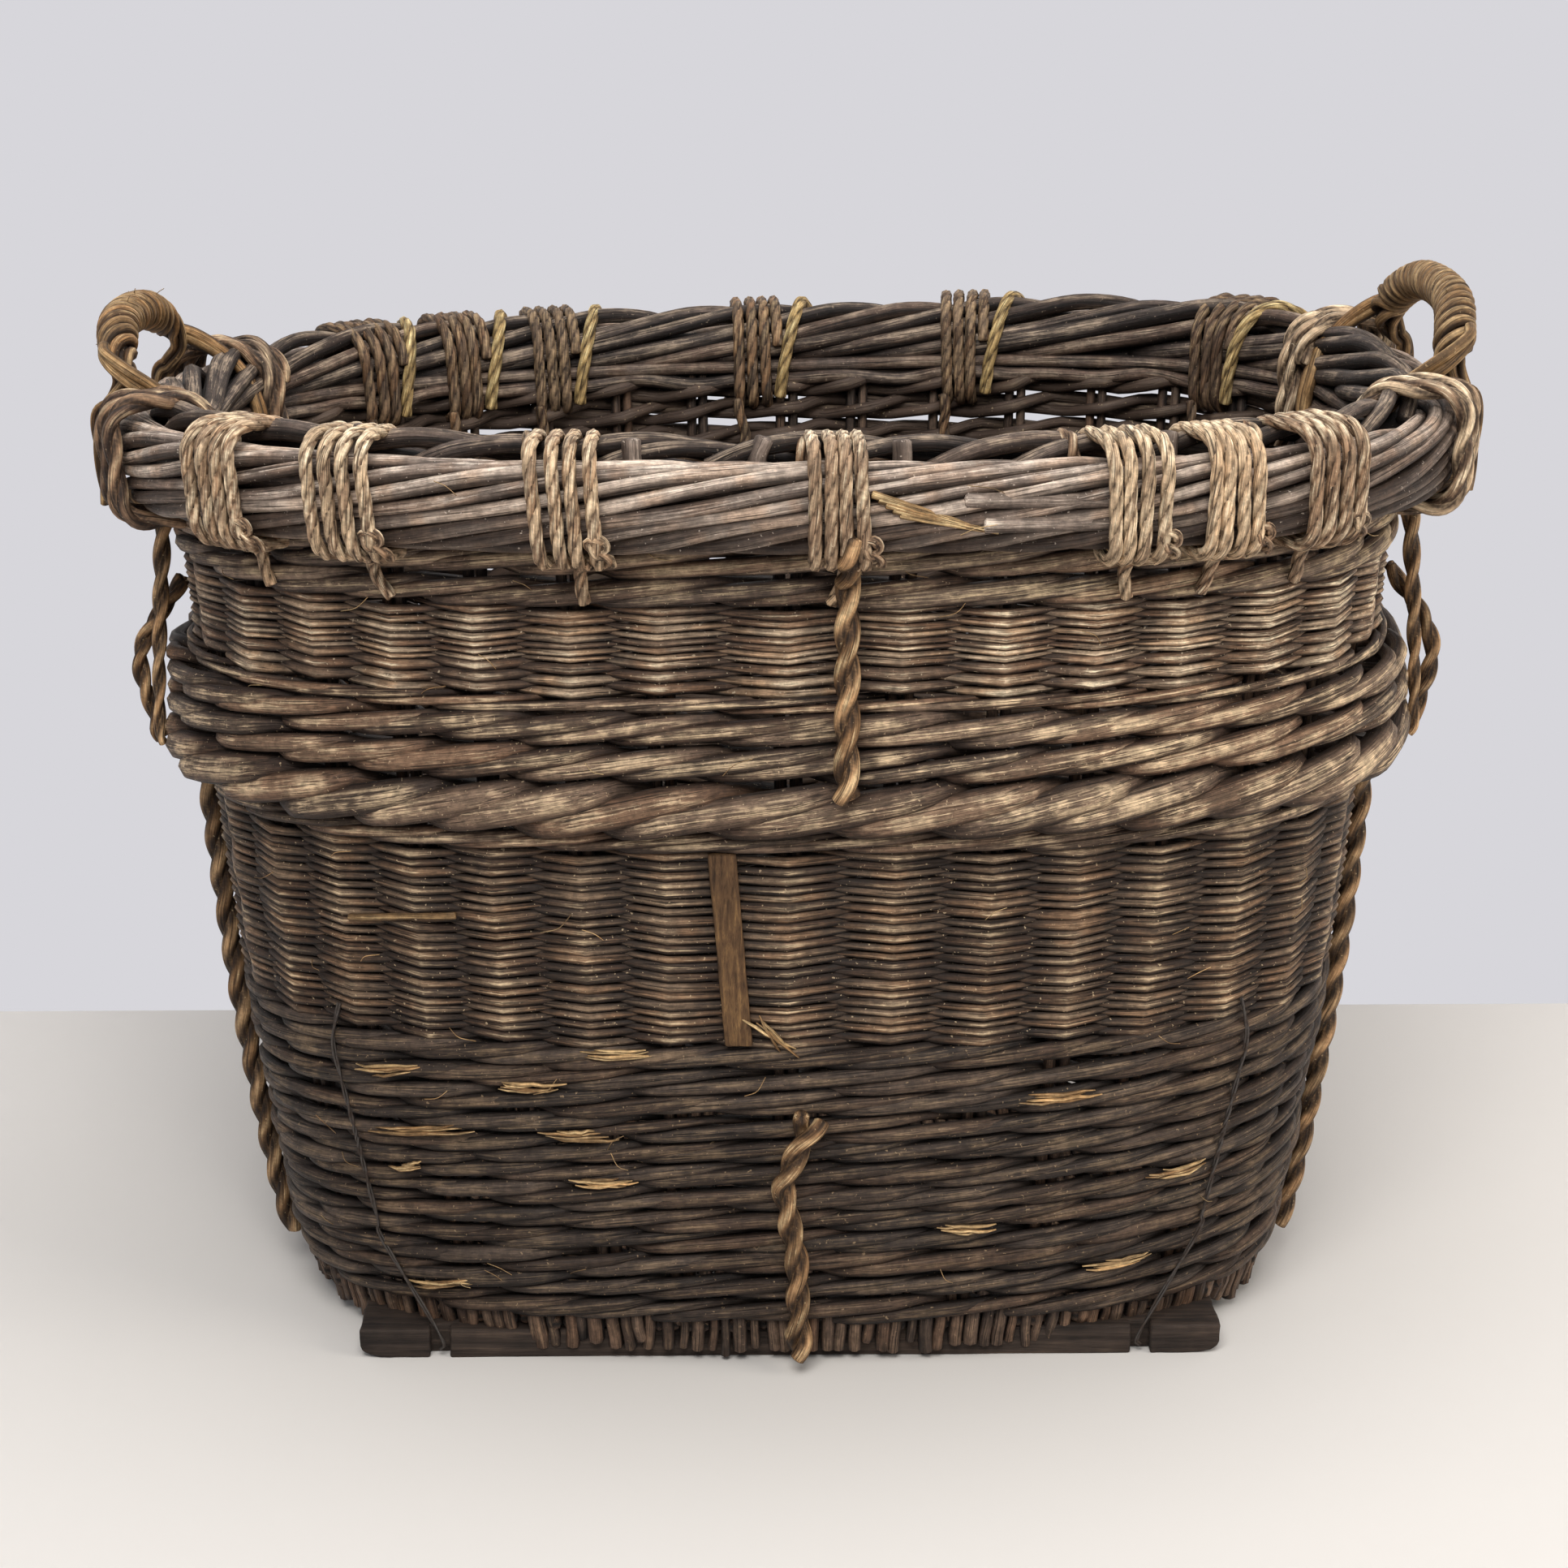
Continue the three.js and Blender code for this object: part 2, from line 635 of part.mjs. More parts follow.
for (const { name, place, turns } of windings) {
  slotted = slotted.subtract(windingSlot(place, turns));
  add(name, winding(name, place, turns), willow(tanWillow));
}
add("top_wale", geometryOf(slotted), willow(brownWillow));

for (const [end, side] of Object.entries(ends)) add(`${end}_handle`, handle(side), willow(yellowWillow));

// Straps on the front and back walls hold the bands together.
const strapTop = level.rim - lashingRod - 2 * windingFit - strapRope / 2;
const upperStrapBottom = level.upperPanel - upperStrapFoot;
for (const [face, side] of Object.entries(faces)) {
  const upper = strap((z) => placeAtX(upperStrapAt, side, z), strapTop, upperStrapBottom, strapRope);
  const lower = knottedStrap(lowerStrapKnots, 0, 1, side, strapRope);
  add(`${face}_upper_strap`, rope(upper, strapRope), willow(yellowWillow));
  add(`${face}_lower_strap`, rope(lower, strapRope), willow(yellowWillow));
}

// Straps on the ends: one down to the middle wale, a loop over its top, and one from under it down to the base.
for (const [end, side] of Object.entries(ends)) {
  const aside = (strapRope + loopRope) / 2 + strapSpacing;
  const upper = strap((z) => placeAtY(loopAt - aside, side, z), strapTop, upperStrapBottom, strapRope);
  const loop = strap(
    (z) => placeAtY(loopAt, side, z),
    level.upperPanel + loopTop,
    level.upperPanel - loopFoot,
    loopRope,
    loopBulge,
  );
  const lower = strap(
    (z) => placeAtY(loopAt + aside, side, z),
    level.middleWale - strapRope / 2 - fit,
    level.mat + strapRope / 2,
    strapRope,
  );
  add(`${end}_upper_strap`, rope(upper, strapRope), willow(yellowWillow));
  add(`${end}_strap_loop`, rope(loop, loopRope), willow(yellowWillow));
  add(`${end}_lower_strap`, rope(lower, strapRope), willow(yellowWillow));
}

for (const [face, side] of Object.entries(faces))
  for (const [end, endSide] of Object.entries(ends)) add(`${face}_${end}_wire`, wire(side, endSide), iron(greyIron));
add("mending_stake", mendStake(), willow(tanWillow));

export default basket;
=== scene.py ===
import math

import bmesh
import bpy
import numpy as np
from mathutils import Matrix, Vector, noise


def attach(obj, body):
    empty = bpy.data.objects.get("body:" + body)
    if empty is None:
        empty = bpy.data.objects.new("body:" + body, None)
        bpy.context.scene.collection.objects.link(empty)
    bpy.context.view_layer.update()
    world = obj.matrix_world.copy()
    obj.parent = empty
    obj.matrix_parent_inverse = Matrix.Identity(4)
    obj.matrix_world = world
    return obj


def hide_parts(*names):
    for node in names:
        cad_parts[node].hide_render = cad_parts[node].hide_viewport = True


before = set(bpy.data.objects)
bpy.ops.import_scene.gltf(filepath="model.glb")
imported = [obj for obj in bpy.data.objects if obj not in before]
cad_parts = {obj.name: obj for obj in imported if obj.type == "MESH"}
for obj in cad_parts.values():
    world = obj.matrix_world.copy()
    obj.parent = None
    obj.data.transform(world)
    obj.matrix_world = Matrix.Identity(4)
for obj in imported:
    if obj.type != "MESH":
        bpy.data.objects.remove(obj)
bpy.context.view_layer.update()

MM = 0.001

# The wall's outer face: heights of its bands, half sizes at foot and mouth, and how it bellies and rounds
MAT = 20.3
LOWER_WALE = 31.6
LOWER_PANEL = 231.9
MIDDLE_WALE = 361.2
UPPER_PANEL = 461.5
TOP_WALE = 516.8
RIM = 553.1
TOP = 615.1
FOOT_HALF_LENGTH, FOOT_HALF_WIDTH = 331, 218
MOUTH_HALF_LENGTH, MOUTH_HALF_WIDTH = 399, 298
LENGTH_BELLY, WIDTH_BELLY, BELLY_SKEW = 12, 6, 0.7
FLOOR_CORNERS, RIM_CORNERS = 3.0, 2.8
RIM_TWIST = 13  # how far the rim has settled at one back corner and risen at the other

# The weave
STAKES = 38
STAKE_ROD, STAKE_APART, STAKE_DRIFT = 8.5, 4.4, 2.2
STAKE_MIDDLE = -11  # outside of the wall's face
FRONT_SHIFTS = {24: -6, 25: -12, 26: -14, 27: -20, 28: -3, 29: 5, 30: 7, 31: 3}  # front stakes, sideways
PANEL_INSIDE, PANEL_MIDDLE, PANEL_PROUD = -22.5, -6, 0.5
LOWER_ROWS = 42
# the upper panel's rows from the bottom, as thick as these say against each other
UPPER_ROWS = (8, 8, 7.5, 8, 7.5, 7, 3.6, 3.8, 4.4, 4.2, 4.6, 4.6, 5, 4.8, 5.4, 5.2, 5.8, 6, 6, 6)
LOWER_COURSES = 12
# courses of the other wales: a rod's thickness, how proud it stands, and the stake where they begin
MIDDLE_COURSES = ((6.6, 3, 1), (17, 17, 2), (11.6, 13, 0), (10, 10, 2), (4.8, 5, 1))
TOP_COURSES, TOP_APART = ((8.8, 3.5, 0), (8.8, 4, 2), (9.5, 1, 1)), 0.6
WALE_INSIDE, LOWER_WALE_INSIDE = -21, -20
MIDDLE_END_BULGE = 10
PAINTED_SIDE_LIGHT, RIGHT_END = 0.45, 0.4  # painted light: how much lighter the right end is painted, as if lit more from that side, and where it is in metres

# The rim
RIM_INSIDE, RIM_OUTSIDE, RIM_ROUND = -20, 36.3, 13
BUNDLE_RODS, BUNDLE_TURNS = 13, -46  # places in the bundle, and how many of them the rods pass in a round
BUNDLE_ROD, BUNDLE_MIDDLE = 4.9, 19
BUNDLE_BOX = (11, 30.3, RIM + 5.7, TOP - 11)  # where the rods' middles run: outside, then height
BUNDLE_CORNER = 9
BUNDLE_CORES, BUNDLE_CORE = ((573, 21), (591, 20)), 9  # heights and outside, and their radius
CUT_RODS = ((95, 588, 186, 585), (106, 573, 184, 572))  # each from x and z to x and z
STUBS = (-92, -18, 61, -250, 215)
BORDER_ROD, BORDER_LEVEL_ROD = 6.1, 5.3
BORDER_CORES = ((566, -4, 7), (580, -3, 8), (593, -3, 8))  # heights, outside and radius
BORDER_LEVELS = ((577, -16.5), (567.5, -17.5))  # heights and outside
# a bent stake's way: along, height, outside, and how worn it is, low numbers painting shade where it goes
# under
BORDER_BEND = (
    (0, 581, -6, 0.3), (28, 584.5, -14, 0.8), (70, 590.5, -17.5, 1.0), (120, 598, -16.5, 1.0),
    (170, 608, -11.5, 1.0), (212, 615.5, -4.5, 1.3), (248, 612, 3, 1.5), (274, 601, 5, 0.9),
)
LASHING_ROD, LASHING_PITCH, LASHING_CLEAR = 8.2, 9, 0.7
FRONT_LASHINGS = (-0.79, -0.62, -0.32, 0.06, 0.47, 0.6, 0.74)  # shares of the mouth's half length
BACK_LASHINGS = (-0.76, -0.6, -0.43, -0.05, 0.34, 0.81)
LASHING_TURNS, WRAP_TURNS = 3, 2
# the ways of knots, tails and single turns: along the rim, up from its foot, and outside
KNOT = ((1, 4, 38), (5, 8, 40), (2, 13, 42), (-4, 11, 41.5), (-1, 5, 41.5), (6, 1, 38), (7, -4, 32))
FRONT_TAIL = ((-4, -4, 31), (-9, -6, 23), (-12, -9, 13), (-13, -17, 9), (-13, -25, 8.5), (-13, -32, 7))
BACK_TAIL = ((12, 1, -26), (10, -10, -26), (8, -26, -24.5), (7, -42, -24))
GOLDEN_TURN = (
    (-19, 2, -24), (-21, 20, -25.5), (-25, 42, -24), (-30, 60, -15), (-33, 66.5, 0),
    (-36, 65.5, 14), (-40, 56, 31), (-42, 36, 39), (-41, 14, 39), (-38, 0, 33),
)
LOOP = ((0, 34.9, -24), (1, 50.9, -22), (3, 61.9, -13), (5, 64.9, -3), (6, 59.9, 7), (7, 48.9, 9))
WRAP_Y = 134.1
LOOPS = (-158, -2, 153, -330, 262)

# Handles, straps and wires
HANDLE_SPREAD, HANDLE_RISE, HANDLE_ROPE, HANDLE_FOOT, HANDLE_TAPER = 100, 57, 27, 13, 34
HANDLE_WAIST, HANDLE_CROWN = RIM_OUTSIDE - 11, RIM_OUTSIDE - 5
STRAP_ROPE, LOOP_ROPE, PRESSED = 16, 11, 0.6
STRAP_TOP = 535.4
STRAP_LEAD = ((567, 40.5), (558, 38.5), (549, 28))  # heights and how far outside, where it leaves the rim
UPPER_STRAP_X, UPPER_STRAP_FOOT, UPPER_STRAP_LIFT = 31, 386.5, 17
LOWER_STRAP = ((12, 184), (-6, 137), (3, 83), (5, 12))
LOOP_Y, END_STRAP_ASIDE = -70, 15.5
LOW_END_STRAP = (MIDDLE_WALE - 8.3, MAT + 8)
LOOP_TOP, LOOP_FOOT, LOOP_BULGE = 493.5, 386.5, 12
WIRE_KNOTS = ((57, 245), (62, 215), (49, 150), (34, 70))
NOTCH_X, RUNNER_OUTER = 228, 204
WIRE, WIRE_BODY = 0.85, 2.4

# The foot
BASE_MIDDLE = MAT + 5.4
STICK, CROSS_STICK, STICK_PITCH = 4.6, 3.4, 9.7
PEGS, PEG = 206, 4.4
WORN_EDGE = 1.6

# The view, in metres and degrees, and its lens in millimetres
BACKDROP_Y = 0.475
CAMERA_PLACE, CAMERA_DOWN, CAMERA_TURN = (-0.0337, -2.1546, 0.930), 15.563, -0.8594
SENSOR, LENS = 36, 75

FACES = (("front", -1), ("back", 1))
ENDS = (("left", -1), ("right", 1))


def lerp(a, b, share):
    return a + (b - a) * share


def tapered(foot, mouth, belly, z):
    share = np.clip((z - MAT) / (TOP - MAT), 0, 1)
    low = share**BELLY_SKEW
    return lerp(foot, mouth, share) + belly * 4 * low * (1 - low)


def half_length(z):
    return tapered(FOOT_HALF_LENGTH, MOUTH_HALF_LENGTH, LENGTH_BELLY, z)


def half_width(z):
    return tapered(FOOT_HALF_WIDTH, MOUTH_HALF_WIDTH, WIDTH_BELLY, z)


def corners(z):
    return lerp(FLOOR_CORNERS, RIM_CORNERS, z / TOP)


def outline(angle, z):
    """The wall's face at an angle round the basket and a height: a point and the way out."""
    n, a, b = corners(z), half_length(z), half_width(z)
    c, s = np.cos(angle), np.sin(angle)
    reach = (np.abs(c) ** n + np.abs(s) ** n) ** (-1 / n)
    x, y = a * reach * c, b * reach * s
    out_x = np.sign(x) * np.abs(x / a) ** (n - 1) / a
    out_y = np.sign(y) * np.abs(y / b) ** (n - 1) / b
    length = np.hypot(out_x, out_y)
    return x, y, out_x / length, out_y / length


ANGLES = np.linspace(0, 2 * math.pi, 4001)
ROUND_X, ROUND_Y = outline(ANGLES, MIDDLE_WALE)[:2]
RUN = np.concatenate([[0], np.cumsum(np.hypot(np.diff(ROUND_X), np.diff(ROUND_Y)))])
GIRTH = RUN[-1]


def wall(place, z, outside):
    """Points so far outside the wall's face, and the way out there.

    A place is a share of the way round the basket, from +X by +Y."""
    place, z, outside = np.broadcast_arrays(*(np.asarray(value, float) for value in (place, z, outside)))
    x, y, out_x, out_y = outline(np.interp((place % 1) * GIRTH, RUN, ANGLES), z)
    x, y = x + out_x * outside, y + out_y * outside
    lean = x / MOUTH_HALF_LENGTH * (0.5 + 0.5 * y / MOUTH_HALF_WIDTH)
    points = np.stack([x, y, z + RIM_TWIST * lean * (z / TOP) ** 2], -1)
    return points, np.stack([out_x, out_y, np.zeros_like(out_x)], -1)


def place_of(angle):
    return np.interp(angle % (2 * math.pi), ANGLES, RUN) / GIRTH


def place_at_x(x, side, z):
    """The place on the front (-1) or back (1) wall at a given x."""
    share, n = x / half_length(z), corners(z)
    return place_of(np.arctan2(side * (1 - np.abs(share) ** n) ** (1 / n), share))


def place_at_y(y, side, z):
    """The place on the left (-1) or right (1) end at a given y."""
    share, n = y / half_width(z), corners(z)
    return place_of(np.arctan2(share, side * (1 - np.abs(share) ** n) ** (1 / n)))


rng = np.random.default_rng(11)
stake_drift = rng.normal(0, STAKE_DRIFT, STAKES)
for k, shift in FRONT_SHIFTS.items():
    stake_drift[k] = shift
STAKE_PLACES = (np.arange(STAKES) + 0.5) / STAKES + stake_drift / GIRTH


def place_at_stake(s):
    """The place for a count of stakes, whole at each stake."""
    counts = np.arange(-2, STAKES + 3)
    places = np.concatenate([STAKE_PLACES[-2:] - 1, STAKE_PLACES, STAKE_PLACES[:3] + 1])
    turns = np.floor(s / STAKES)
    return np.interp(s - turns * STAKES, counts, places) + turns


def end_bulge(place):
    return MIDDLE_END_BULGE * np.abs(wall(place, MIDDLE_WALE, 0)[1][..., 0]) ** 4


def drift(rng, place, size, waves=(2, 3, 5, 8, 13)):
    """A slow wander that closes round the basket."""
    total = 0
    for count in waves:
        total = total + rng.normal() * np.sin(2 * math.pi * (count * place + rng.random()))
    return total * size / math.sqrt(len(waves))


def smooth_line(knots, spacing):
    """A smooth line through knots, with a point at each spacing."""
    knots = np.asarray(knots, float)
    padded = np.vstack([2 * knots[0] - knots[1], knots, 2 * knots[-1] - knots[-2]])
    share = np.linspace(0, 1, 12, endpoint=False)[:, None]
    pieces = []
    for a, b, c, d in zip(padded, padded[1:], padded[2:], padded[3:]):
        bend, ease = 2 * a - 5 * b + 4 * c - d, 3 * b - a - 3 * c + d
        pieces.append(0.5 * (2 * b + (c - a) * share + bend * share**2 + ease * share**3))
    return even_line(np.vstack([*pieces, knots[-1:]]), spacing)


def run_of(points):
    return np.concatenate([[0], np.cumsum(np.linalg.norm(np.diff(points, axis=0), axis=1))])


def even_line(points, spacing):
    run = run_of(points)
    count = max(int(round(run[-1] / spacing)), 3)
    at = np.linspace(0, run[-1], count + 1)
    return np.stack([np.interp(at, run, points[:, i]) for i in range(points.shape[1])], 1)


def unit(vectors):
    return vectors / np.linalg.norm(vectors, axis=-1, keepdims=True)


def directions(points):
    return unit(np.gradient(points, axis=0))


def carried(points):
    """Two directions across a line, carried along it without twist."""
    ahead = directions(points)
    across = np.cross(ahead[0], (0.3, 0.2, 0.93))
    result = []
    for forward in ahead:
        across = unit(across - forward * across.dot(forward))
        result.append(across)
    result = np.array(result)
    return result, np.cross(ahead, result)


class Rods:
    """Rods that make one piece. A rod is a line of points with a radius at each, rounded off at open ends."""

    def __init__(self, name, sides, seed, painted_side_light=0.0):
        self.name, self.sides, self.painted_side_light = name, sides, painted_side_light
        self.rng = np.random.default_rng(seed)
        self.rods = []

    def add(self, points, radius, outward=None, closed=False, worn=1.0, tint=None, inner=0.0, sharp=1.5):
        """Inner is how far inside the basket it is, which darkens it with dirt and painted shade, or None
        where each of its sides is as it faces.
        """
        points = np.asarray(points, float)
        count = len(points)
        radius = np.broadcast_to(radius, count).astype(float)
        worn = np.broadcast_to(worn, count).astype(float)
        if outward is None:
            outward = carried(points)[0]
        outward = np.broadcast_to(outward, (count, 3)).astype(float)
        tint = np.broadcast_to(self.rng.random() if tint is None else tint, count)
        if not closed:
            # two more rings at each end, which round it off
            first, last = directions(points)[[0, -1]] * radius[[0, -1], None]
            points = np.vstack([
                points[0] - 0.3 * first, points[0] - 0.2 * first, points,
                points[-1] + 0.2 * last, points[-1] + 0.3 * last,
            ])
            radius = np.concatenate([[0, radius[0] * 0.75], radius, [radius[-1] * 0.75, 0]])
            worn, outward, tint = (
                np.concatenate([values[:1], values[:1], values, values[-1:], values[-1:]])
                for values in (worn, outward, tint)
            )
        self.rods.append((points, radius, outward, closed, worn, tint, inner, sharp))

    def lay(self, place, z, outside, radius, **looks):
        """Adds a rod along the wall, with its worn side out."""
        points, out = wall(place, z, outside)
        self.add(points, radius, out, **looks)

    def piece(self, material, slot, *nodes):
        curve = bpy.data.curves.new(self.name, "CURVE")
        curve.dimensions = "3D"
        curve.bevel_depth = 1
        curve.bevel_resolution = (self.sides - 4) // 2
        for points, radius, _, closed, *_ in self.rods:
            spline = curve.splines.new("POLY")
            spline.points.add(len(points) - 1)
            spline.points.foreach_set("co", np.hstack([points * MM, np.ones((len(points), 1))]).ravel())
            spline.points.foreach_set("radius", radius * MM)
            spline.use_cyclic_u = closed
        bent = new_object(self.name + "_line", curve)
        mesh = bpy.data.meshes.new_from_object(bent.evaluated_get(bpy.context.evaluated_depsgraph_get()))
        bpy.data.objects.remove(bent)
        bpy.data.curves.remove(curve)
        mesh.name = self.name
        self.tint_and_shade(mesh)
        self.close_ends(mesh)
        return placed(self.name, mesh, material, slot, *nodes)

    def tint_and_shade(self, mesh):
        """Gives each vertex its place in the rod's grain, its tint, its wear with painted shade, and how far
        inside it is.
        """
        at = np.empty(len(mesh.vertices) * 3)
        mesh.vertices.foreach_get("co", at)
        at = at.reshape(-1, self.sides, 3)
        turn = np.arange(self.sides) * 2 * math.pi / self.sides
        grain, tint_and_shade, start = [], [], 0
        for points, radius, outward, closed, worn, tint, inner, sharp in self.rods:
            rings = at[start : start + len(points)]
            start += len(points)
            run = run_of(points * MM) + self.rng.random() * 40
            size = np.maximum(radius, 0.5)[:, None] * MM
            grain.append(np.stack([np.cos(turn) * size, np.sin(turn) * size, run[:, None] + 0 * turn], -1))
            way = (rings - points[:, None] * MM) / np.maximum(radius[:, None, None] * MM, 1e-5)
            facing = (way * outward[:, None]).sum(-1)
            # painted shade: each rod darkens on the sides turned from its outward way, into the crevices, and
            # its top is painted lighter and its underside darker, as if lit from above
            shade = worn[:, None] * (0.15 + 0.85 * np.abs(facing) ** sharp) * (1 + 0.22 * way[..., 2])
            # painted light: towards the right end the colour is scaled by this factor, lighter as if lit more
            # from that side; the rim's negative factor paints it darker
            shade = shade * (1 + self.painted_side_light * np.clip(rings[..., 0] / RIGHT_END, 0, 1))
            # dirt and painted shade: sides that face into the basket darken
            hidden = np.clip(0.5 - facing, 0, 1) if inner is None else inner + 0 * facing
            tint_and_shade.append(np.stack([tint[:, None] + 0 * facing, shade, hidden], -1))
        for name, values in (("grain", grain), ("tint_and_shade", tint_and_shade)):
            attribute = mesh.attributes.new(name, "FLOAT_VECTOR", "POINT")
            attribute.data.foreach_set("vector", np.vstack(values).astype(np.float32).ravel())

    def close_ends(self, mesh):
        ends, start = [], 0
        for points, _, _, closed, *_ in self.rods:
            if not closed:
                for ring in (start, start + len(points) - 1):
                    ends.extend(range(ring * self.sides, (ring + 1) * self.sides))
            start += len(points)
        bm = bmesh.new()
        bm.from_mesh(mesh)
        bm.verts.ensure_lookup_table()
        bmesh.ops.remove_doubles(bm, verts=[bm.verts[i] for i in ends], dist=1e-6)
        for face in bm.faces:
            face.smooth = True
        bm.to_mesh(mesh)
        bm.free()


def new_object(name, data):
    made = bpy.data.objects.new(name, data)
    bpy.context.collection.objects.link(made)
    return made


def placed(name, mesh, material, slot, *nodes):
    """Makes a piece of a mesh. It rides on the basket and stands for the nodes."""
    piece = new_object(name, mesh)
    mesh.materials.clear()
    mesh.materials.append(material)
    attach(piece, "root")
    if nodes:
        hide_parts(*nodes)
    return piece


# Materials
def colour(code):
    """A colour written as on a screen, as the shader's own numbers."""
    values = [int(code[i : i + 2], 16) / 255 for i in (0, 2, 4)]
    return [v / 12.92 if v <= 0.04045 else ((v + 0.055) / 1.055) ** 2.4 for v in values] + [1]


class Shader:
    """Adds nodes to a material or a group."""

    def __init__(self, tree):
        self.tree = tree

    def node(self, kind, *values, **settings):
        """A new node with its settings, and its first inputs fed."""
        made = self.tree.nodes.new(kind)
        for name, value in settings.items():
            setattr(made, name, value)
        for socket, value in zip(made.inputs, values):
            self.feed(socket, value)
        return made

    def feed(self, socket, value):
        if isinstance(value, bpy.types.NodeSocket):
            self.tree.links.new(value, socket)
        elif value is not None:
            socket.default_value = value

    def math(self, operation, *values, clamp=False):
        return self.node("ShaderNodeMath", *values, operation=operation, use_clamp=clamp).outputs[0]
        return made.outputs[0]

    def times(self, a, b):
        return self.math("MULTIPLY", a, b)

    def total(self, *parts):
        """All parts added up, each times its weight."""
        result = 0.0
        for value, weight in parts:
            result = self.math("MULTIPLY_ADD", value, weight, result)
        return result

    def between(self, *values):
        """A smooth step of a value between a low and a high one, from 0 to 1 or between two more values."""
        return self.node("ShaderNodeMapRange", *values, interpolation_type="SMOOTHSTEP").outputs[0]

    def mix(self, share, a, b, blend="MIX"):
        made = self.node("ShaderNodeMix", share, data_type="RGBA", blend_type=blend)
        self.feed(made.inputs[6], a)
        self.feed(made.inputs[7], b)
        return made.outputs[2]

    def stretched(self, vector, scale, move=(0, 0, 0)):
        made = self.node("ShaderNodeMapping", vector)
        made.inputs["Scale"].default_value = scale
        made.inputs["Location"].default_value = move
        return made.outputs[0]

    def noise(self, vector, scale=1.0, detail=3.0, roughness=0.6, distortion=0.0):
        made = self.node("ShaderNodeTexNoise", vector)
        settings = {"Scale": scale, "Detail": detail, "Roughness": roughness, "Distortion": distortion}
        for name, value in settings.items():
            self.feed(made.inputs[name], value)
        return made.outputs[0]

    def grey(self, value):
        return self.node("ShaderNodeCombineColor", value, value, value).outputs[0]

    def bump(self, height, strength):
        made = self.node("ShaderNodeBump")
        made.inputs["Strength"].default_value = strength
        made.inputs["Distance"].default_value = 0.0012
        self.feed(made.inputs["Height"], height)
        return made.outputs[0]

    def blend(self, share, a, b):
        """Two surfaces mixed."""
        return self.node("ShaderNodeMixShader", share, a, b).outputs[0]


def new_group(name, inputs, outputs):
    tree = bpy.data.node_groups.new(name, "ShaderNodeTree")
    kinds = {"colour": "NodeSocketColor", "value": "NodeSocketFloat"}
    for label, kind in inputs:
        tree.interface.new_socket(label, in_out="INPUT", socket_type=kinds[kind])
    for label, kind in outputs:
        tree.interface.new_socket(label, in_out="OUTPUT", socket_type=kinds[kind])
    shader = Shader(tree)
    return shader, shader.node("NodeGroupInput").outputs, shader.node("NodeGroupOutput").inputs


def willow_group():
    """Weathered willow: bark that streaks along the rod, pale where it is rubbed bare, dark with dirt and
    painted shade in the crevices.
    """
    inputs = [("Crevice", "colour"), ("Bark", "colour"), ("Wood", "colour"), ("Pale", "colour")]
    inputs += [("Wear", "value"), ("Warmth", "value"), ("Dust", "value"), ("Inside", "value")]
    outputs = [("Color", "colour"), ("Roughness", "value"), ("Height", "value")]
    sh, given, out = new_group("weathered willow", inputs, outputs)
    grain = sh.node("ShaderNodeAttribute", attribute_name="grain").outputs["Vector"]
    tint_and_shade = sh.node("ShaderNodeAttribute", attribute_name="tint_and_shade").outputs["Vector"]
    tint, worn, inner = sh.node("ShaderNodeSeparateXYZ", tint_and_shade).outputs
    where = sh.node("ShaderNodeTexCoord").outputs["Object"]

    def along_rod(across, along, detail, roughness=0.6, move=(0, 0, 0)):
        """Noise that is drawn out along the rod, by its marks in a metre each way."""
        return sh.noise(sh.stretched(grain, (across, across, along), move), 1.0, detail, roughness)

    streak = along_rod(420, 16, 6, 0.72)
    stripe = along_rod(680, 24, 5, 0.75, (3, 5, 7))
    fibre = along_rod(1500, 70, 2)
    crack = sh.between(along_rod(900, 13, 3, move=(9, 2, 4)), 0.57, 0.67)
    bark = sh.total((streak, 0.9), (tint, 0.5), (sh.noise(where, 11, 4), 0.35))
    body = sh.mix(sh.between(bark, 0.74, 1.04), given["Bark"], given["Wood"])
    # some rods are warmer than others
    hue = sh.total((sh.math("SINE", sh.times(tint, 19.0)), 1.0), (sh.noise(where, 5, 2), 1.2))
    warm = sh.times(sh.between(hue, 0.1, 1.5), given["Warmth"])
    body = sh.mix(warm, body, sh.mix(1.0, body, (1.22, 0.95, 0.72, 1), "MULTIPLY"))
    # bark is worn off in spots, most on what stands out
    spots = sh.total((stripe, 0.7), (sh.noise(where, 34, 3), 0.45))
    spots = sh.math("MULTIPLY_ADD", sh.between(spots, 0.56, 0.63), 0.9, 0.08)
    bare = sh.times(sh.between(worn, 0.5, 1.12), spots)
    body = sh.mix(sh.math("MULTIPLY", bare, given["Wear"], clamp=True), body, given["Pale"])
    # dirt and painted shade: the crevice colour where the shade value is low
    body = sh.mix(sh.between(worn, 0.1, 0.8), given["Crevice"], body)
    body = sh.mix(sh.times(crack, 0.8), body, given["Crevice"])
    mottle = sh.between(sh.noise(where, 150, 4, 0.7), 0.36, 0.64, 0.74, 1.24)
    fine = sh.times(sh.between(fibre, 0.3, 0.7, 0.62, 1.34), mottle)
    body = sh.mix(1.0, body, sh.grey(fine), "MULTIPLY")
    # dirt and painted shade on the basket's inside
    body = sh.mix(sh.times(inner, given["Inside"]), body, sh.mix(0.75, given["Crevice"], given["Bark"]))
    speck = sh.between(sh.noise(where, 420, 1), 0.7, 0.76)
    body = sh.mix(sh.times(speck, given["Dust"]), body, given["Pale"])
    sh.feed(out["Color"], body)
    sh.feed(out["Roughness"], sh.between(streak, 0.3, 0.7, 0.75, 0.5))
    sh.feed(out["Height"], sh.total((streak, 0.6), (fibre, 0.35), (crack, -0.5)))
    return sh.tree


WILLOW = willow_group()


